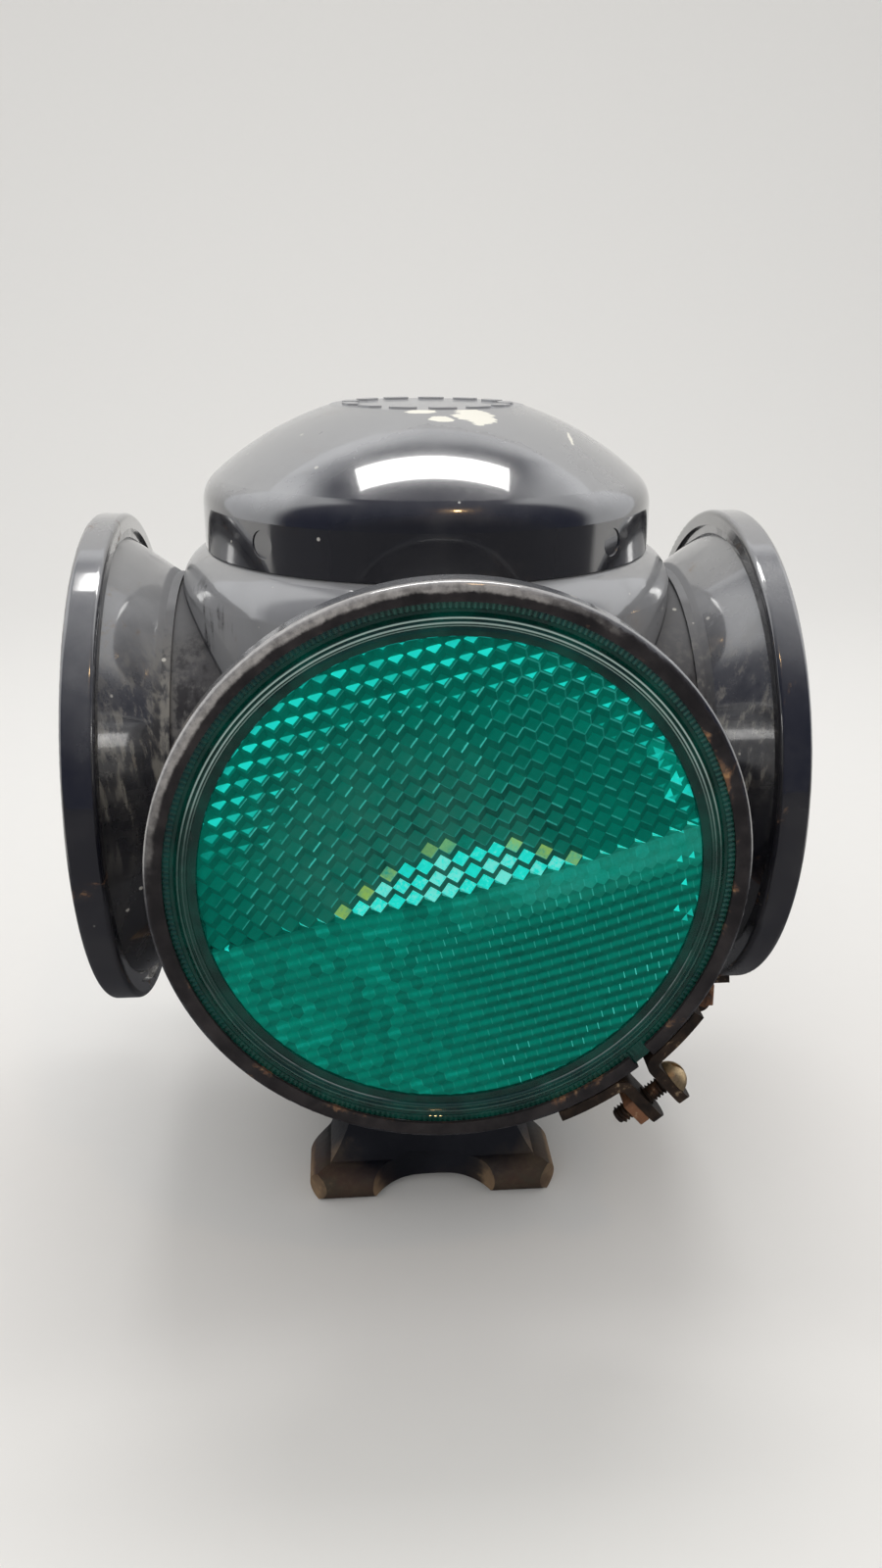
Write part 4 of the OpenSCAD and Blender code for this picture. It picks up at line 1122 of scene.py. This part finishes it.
def lens_moulding(glass, finishes):
    """One lens about z: rim with a double bead, floor, ribs, smooth face and two prism fields."""
    rim = LENS_RADIUS / MM
    rim_profile = [
        (75.4, 112.6), (75.4, 117.6), (75.7, 118.0), (77.9, 118.0), (78.27, 117.9), (78.5, 118.3),
        (79.0, 118.62), (79.5, 118.7), (79.95, 118.4), (80.3, 118.35), (80.6, 118.72), (81.0, 118.8),
        (81.4, 118.5), (81.75, 117.9), (82.3, 117.35),
        (rim - 0.3, 117.35), (rim, 117.05), (rim, 112.0), (76.2, 112.0), (75.6, 111.6), (75.4, 109.0),
        (74.8, 109.0), (74.8, 112.6), (75.4, 112.6),
    ]
    face_profile = [(75.5, 118), (60, 118.05), (30, 118.12), (3, 118.14)]
    body = turned("lens_rim", in_mm(rim_profile), 180)
    floor = turned("lens_floor", in_mm([(75.2, 112.7), (40, 112.6), (4, 112.6)]), 96)
    cap_ends(floor)
    ribs = lens_ribs(glass)
    cover = turned("lens_cover", in_mm(face_profile), 96)
    with editing(cover):
        pick(cover, lambda place: place.xy.length < 4 * MM)
        bpy.ops.mesh.edge_face_add()
        bpy.ops.mesh.select_all(action="SELECT")
        bpy.ops.mesh.normals_make_consistent(inside=False)
    pitch, row = glass.cell_pitch, glass.cell_pitch * math.sqrt(3) / 2
    centre = (-28.85 * MM, DIVIDE * MM + pitch / math.sqrt(3))
    upper = prism_field("lens_cells", pitch, row, glass.relief, centre, above=True)
    mark_prisms(upper, centre, pitch, row, glass.tilt, upper_facet)
    pitch, row = glass.brick_pitch, glass.brick_row
    centre = (0, DIVIDE * MM - 0.55 * row)
    shallow, wall = 0.12 * glass.relief, 0.9 * glass.relief
    lower = prism_field("lens_bricks", pitch, row, shallow, centre, above=False, wall=wall)
    mark_prisms(lower, centre, pitch, row, glass.tilt, lower_facet)
    for field in (upper, lower):
        sag_rows(field)
        put(field, Matrix.Translation((0, 0, PRISM_TOPS * MM)) @ Matrix.Rotation(glass.tilt, 4, "Z"))
    for pieces, material in zip(((body, floor, ribs), (cover,), (upper, lower)), finishes):
        for piece in pieces:
            piece.data.materials.append(material)
    for piece in (body, ribs, cover):
        smooth_piece(piece, 25)
    return join("lens_moulding", body, floor, ribs, cover, upper, lower)


def sag_rows(field):
    """Bows the rows of a prism field, as its dividing line is bowed."""
    middle = Vector((SAG_MIDDLE * MM, DIVIDE * MM))
    with editing(field):
        pick(field, lambda place: (place.xy - middle).length < 12 * MM)
        bpy.ops.transform.translate(
            value=(0, -SAG * MM, 0),
            use_proportional_edit=True,
            proportional_edit_falloff="SMOOTH",
            proportional_size=55 * MM,
        )


def lens_ribs(glass):
    """Ring of radial ribs round the edge of the glass."""
    ring = [(82.2, 117.3), (83.2, 117.3), (83.45, 117.45), (86.8, 117.45), (87.0, 117.2), (82.2, 117.2)]
    ribs = turned("lens_ribs", in_mm([*ring, ring[0]]), 2 * glass.teeth)
    step = math.pi / glass.teeth
    with editing(ribs):
        pick(
            ribs,
            lambda place: place.z > 117.4 * MM and round(math.atan2(place.y, place.x) / step) % 2 == 0,
        )
        bpy.ops.transform.translate(value=(0, 0, 0.3 * MM))
    return ribs


class SIGNAL_LAMP_OT_lenses(SignalLampStep, bpy.types.Operator):
    """Models the four prism lenses"""

    bl_idname = "signal_lamp.lenses"
    bl_label = "Mould Lenses"

    def execute(self, context):
        glass = context.scene.lamp_glass
        cover = cover_finish("lens_face")
        finishes = {}
        for tint in ("green", "red"):
            # Each tint's colours: painted shade, plain light, painted highlight and painted yellowish glint
            names = (f"{shade}_{tint}" for shade in ("deep", "mid", "bright", "warm"))
            deep, mid, bright, warm = (tuple(getattr(glass, name)) for name in names)
            finishes[tint] = (
                rim_finish(f"{tint}_rim_glass", deep, mid),
                cover,
                prism_finish(f"{tint}_prism_glass", deep, mid, bright, warm),
            )
        pattern = lens_moulding(glass, finishes["green"])
        for index, side in enumerate(SIDES):
            tint = "green" if side in ("front", "back") else "red"
            lens = copy_piece(pattern, f"prism_lens_{side}")
            for slot, material in enumerate(lens.data.materials):
                lens.data.materials[slot] = finishes[tint][finishes["green"].index(material)]
            put(lens, side_matrix(index))
            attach(lens, "lamp")
            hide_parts(f"lens_{side}")
        bpy.data.objects.remove(pattern)
        return {"FINISHED"}


def thread_ridge(name, major, pitch, low, turns):
    """Helical ridge of a sixty degree thread about z."""
    tip = pitch / math.sqrt(3)
    ridge = start(
        name,
        bpy.ops.mesh.primitive_circle_add,
        vertices=3,
        radius=tip,
        location=(major - tip, 0, low),
        rotation=(math.pi / 2, math.pi / 2, 0),
    )
    helix = ridge.modifiers.new("Screw", "SCREW")
    helix.axis = "Z"
    helix.screw_offset = pitch
    helix.iterations = turns
    helix.steps = helix.render_steps = 20
    apply_modifiers(ridge)
    cap_ends(ridge, sides=3)
    return ridge


def clamp_screw(clamp, head_metal, thread_metal):
    """Round-headed slotted screw about z, the head's seat at z = 0."""
    radius = clamp.head / 2
    height = clamp.head_height
    slot_depth = 1.9 * MM
    shank = 2 * clamp.seat + clamp.nut_height + clamp.tail
    core = clamp.thread / 2 - clamp.pitch * 0.62
    ball = (radius**2 + height**2) / (2 * height)
    profile = [(0.4 * core, -shank), (core * 0.8, -shank), (core, -shank + 0.4 * MM), (core, 0)]
    profile += [(radius * 0.97, 0), (radius, 0.15 * MM)]
    top = math.asin(radius / ball)
    for step in range(1, 10):
        angle = top * (1 - step / 10)
        profile.append((ball * math.sin(angle), height - ball + ball * math.cos(angle)))
    screw = turned("screw_pattern", profile, 40)
    cap_ends(screw)
    cutter = start(
        "slot_cutter",
        bpy.ops.mesh.primitive_cube_add,
        size=1,
        scale=(3 * radius, clamp.slot, 2 * height),
        location=(0, 0, 2 * height - slot_depth),
    )
    carve(screw, cutter)
    turns = math.floor((shank - 0.5 * MM) / clamp.pitch) - 1
    ridge = thread_ridge("thread_pattern", clamp.thread / 2, clamp.pitch, -shank + 0.75 * MM, turns)
    for metal in (head_metal, thread_metal):
        screw.data.materials.append(metal)
    for face in screw.data.polygons:
        face.material_index = int(face.center.z < -0.01 * MM)
    ridge.data.materials.append(thread_metal)
    piece = join("screw_pattern", screw, ridge)
    smooth_piece(piece, 35)
    return piece


def square_nut(clamp):
    """Square nut about z with rubbed corners, its seat at z = 0."""
    width, height = clamp.nut_width, clamp.nut_height
    nut = start(
        "nut_pattern",
        bpy.ops.mesh.primitive_cube_add,
        size=1,
        scale=(width, width, height),
        location=(0, 0, height / 2),
    )
    with editing(nut):
        bpy.ops.mesh.select_all(action="SELECT")
        bpy.ops.mesh.bevel(offset=0.5 * MM, segments=3, affect="EDGES")
    bore = start(
        "bore_cutter",
        bpy.ops.mesh.primitive_cylinder_add,
        vertices=40,
        radius=clamp.thread / 2 + 0.12 * MM,
        depth=4 * height,
    )
    carve(nut, bore)
    smooth_piece(nut, 35)
    return nut


class SIGNAL_LAMP_OT_clamps(SignalLampStep, bpy.types.Operator):
    """Models the threaded clamp screws and square nuts"""

    bl_idname = "signal_lamp.clamps"
    bl_label = "Cut Clamp Screws"

    def execute(self, context):
        clamp = context.scene.lamp_clamp
        paint = context.scene.lamp_paint
        brass = metal_finish("screw_brass", (0.78, 0.6, 0.36), (0.3, 0.2, 0.1), 0.34, scale=160)
        screw = clamp_screw(clamp, brass, rusty_finish(paint, "thread_rust", 0.1))
        nut = square_nut(clamp)
        nut.data.materials.append(rusty_finish(paint, "nut_rust", -0.12))
        angles = {"right": clamp.right_angle, "left": -math.pi - clamp.angle}
        seats = (("screw", screw, clamp.seat, -90, "brass"), ("nut", nut, -clamp.seat, 90, "rusty_steel"))
        for index, side in enumerate(SIDES):
            lens_turn = side_matrix(index) @ Matrix.Rotation(angles.get(side, clamp.angle), 4, "Z")
            for stem, pattern, seat, turn, slot in seats:
                piece = copy_piece(pattern, f"clamp_{stem}_{side}")
                place = Matrix.Translation((clamp.reach, seat, BAND_MIDDLE))
                put(piece, lens_turn @ place @ Matrix.Rotation(math.radians(turn), 4, "X"))
                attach(piece, f"{stem}_{side}")
                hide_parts(f"{stem}_{side}")
        for pattern in (screw, nut):
            bpy.data.objects.remove(pattern)
        return {"FINISHED"}


def studio_floor(stage):
    """Floor that sweeps up into a backdrop, with a dark table round the lamp in reflections only."""
    size, rise, sweep = 6, 3.2, 1.2
    floor = start("studio_floor", bpy.ops.mesh.primitive_plane_add, size=size, location=(0, -0.8, 0))
    with editing(floor):
        pick(floor, lambda place: place.y > 0)
        bpy.ops.mesh.extrude_region_move(TRANSFORM_OT_translate={"value": (0, 0, rise)})
        pick(floor, lambda place: place.y > 0 and place.z < sweep)
        bpy.ops.mesh.bevel(offset=sweep, segments=16, affect="EDGES")
    smooth_piece(floor, 60)
    shading = new_finish("studio_paper")
    x, y, _ = shading.parts(shading.place)
    mirrored = shading.node("ShaderNodeLightPath", output="Is Glossy Ray")
    table = shading.smooth((x * x + y * y) ** 0.5, 0.56, 0.42).larger(shading.smooth(y, -0.06, -0.2))
    colour = shading.layers(
        [0.985 * c for c in stage.floor], (shading.noise(90), stage.floor), (mirrored * table, stage.table)
    )
    floor.data.materials.append(shading.surface(Base_Color=colour, Roughness=0.85, IOR=1.3))


def room_light(stage):
    """World: pale behind the lamp, dim in front of it, even for soft light."""
    shading = Shading(bpy.context.scene.world)
    across, back, _ = shading.parts(shading.node("ShaderNodeTexCoord", output="Generated"))
    walls = shading.smooth(abs(across), 0.36, 0.52) * shading.smooth(back, -0.22, -0.02)
    colour = shading.layers(
        stage.shade,
        (shading.smooth(back, 0.42, 0.54).larger(walls), stage.pale),
        (shading.node("ShaderNodeLightPath", output="Is Camera Ray"), stage.pale),
        (shading.node("ShaderNodeLightPath", output="Is Diffuse Ray"), stage.ambient),
    )
    light = shading.node("ShaderNodeBackground", sockets={"Color": colour})
    shading.node("ShaderNodeOutputWorld", sockets={"Surface": light})


def soft_box(name, place, aim, size, power, colour, in_gloss=True):
    """Area light that faces a point."""
    bpy.ops.object.light_add(type="AREA", location=place)
    lamp = bpy.context.object
    lamp.name = name
    lamp.rotation_euler = (Vector(aim) - Vector(place)).to_track_quat("-Z", "Y").to_euler()
    lamp.data.shape = "RECTANGLE"
    lamp.data.size, lamp.data.size_y = size
    lamp.data.energy = power
    lamp.data.color = colour
    lamp.visible_glossy = in_gloss


def photo_camera(stage):
    """Camera at the photograph's place, turn and focal length."""
    pan, tilt, roll = stage.pan, stage.tilt, stage.roll
    right = Vector((math.cos(pan), -math.sin(pan), 0))
    ahead = Vector((math.sin(pan) * math.cos(tilt), math.cos(pan) * math.cos(tilt), -math.sin(tilt)))
    up = right.cross(ahead)
    rolled = right * math.cos(roll) + up * math.sin(roll)
    up = up * math.cos(roll) - right * math.sin(roll)
    bpy.ops.object.camera_add()
    camera = bpy.context.object
    camera.name = "photo_camera"
    columns = Matrix((rolled, up, -ahead)).transposed().to_4x4()
    camera.matrix_world = Matrix.Translation(stage.place) @ columns
    camera.data.lens = stage.focal
    camera.data.clip_start = 0.01
    bpy.context.scene.camera = camera


class SIGNAL_LAMP_OT_stage(SignalLampStep, bpy.types.Operator):
    """Sets the floor, the light and the camera"""

    bl_idname = "signal_lamp.stage"
    bl_label = "Set Stage"

    def execute(self, context):
        stage = context.scene.lamp_stage
        if context.scene.world is None:
            context.scene.world = bpy.data.worlds.new("Room")
        context.scene.view_settings.view_transform = "Standard"
        studio_floor(stage)
        room_light(stage)
        soft_box("ceiling_strip", (0.06, 0.28, 1.49), (0.06, 0.28, 0), (0.9, 0.26), 6.5, (1, 0.99, 0.97))
        soft_box("warm_bulb", (0.2, -0.72, 1.26), (0, 0, 0.25), (0.07, 0.07), 0.5, (1, 0.62, 0.28))
        for name, place, aim, size, power, colour in (
            ("ceiling_glow", (0.06, 0.52, 1.5), (0.0, 0.1, 0.3), (1.1, 0.35), 1.6, (0.86, 0.92, 1)),
            ("front_fill", (-0.7, -1.3, 1.3), (0, 0, 0.18), (1.2, 1.2), 5, (1, 0.98, 0.96)),
        ):
            soft_box(name, place, aim, size, power, colour, in_gloss=False)
        photo_camera(stage)
        return {"FINISHED"}


STEPS = (
    SIGNAL_LAMP_OT_enamel,
    SIGNAL_LAMP_OT_bands,
    SIGNAL_LAMP_OT_foot,
    SIGNAL_LAMP_OT_burner,
    SIGNAL_LAMP_OT_lenses,
    SIGNAL_LAMP_OT_clamps,
    SIGNAL_LAMP_OT_stage,
)
GROUPS = {
    "lamp_paint": LampPaint,
    "lamp_glass": LampGlass,
    "lamp_clamp": LampClamp,
    "lamp_stage": LampStage,
}


class SIGNAL_LAMP_PT_panel(bpy.types.Panel):
    """Lists the lamp's sizes, colours and steps"""

    bl_label = "Signal Lamp"
    bl_space_type = "VIEW_3D"
    bl_region_type = "UI"
    bl_category = "Signal Lamp"

    def draw(self, context):
        for step in STEPS:
            self.layout.operator(step.bl_idname)
        for group_name, group in GROUPS.items():
            box = self.layout.box()
            for key in group.__annotations__:
                box.prop(getattr(context.scene, group_name), key)


def register():
    for group_name, group in GROUPS.items():
        bpy.utils.register_class(group)
        setattr(bpy.types.Scene, group_name, bpy.props.PointerProperty(type=group))
    for step in STEPS:
        bpy.utils.register_class(step)
    bpy.utils.register_class(SIGNAL_LAMP_PT_panel)


def unregister():
    bpy.utils.unregister_class(SIGNAL_LAMP_PT_panel)
    for step in reversed(STEPS):
        bpy.utils.unregister_class(step)
    for group_name, group in GROUPS.items():
        delattr(bpy.types.Scene, group_name)
        bpy.utils.unregister_class(group)


def main():
    register()
    bpy.ops.signal_lamp.stage()
    bpy.ops.signal_lamp.enamel()
    bpy.ops.signal_lamp.bands()
    bpy.ops.signal_lamp.foot()
    bpy.ops.signal_lamp.burner()
    bpy.ops.signal_lamp.lenses()
    bpy.ops.signal_lamp.clamps()


if __name__ == "__main__":
    main()
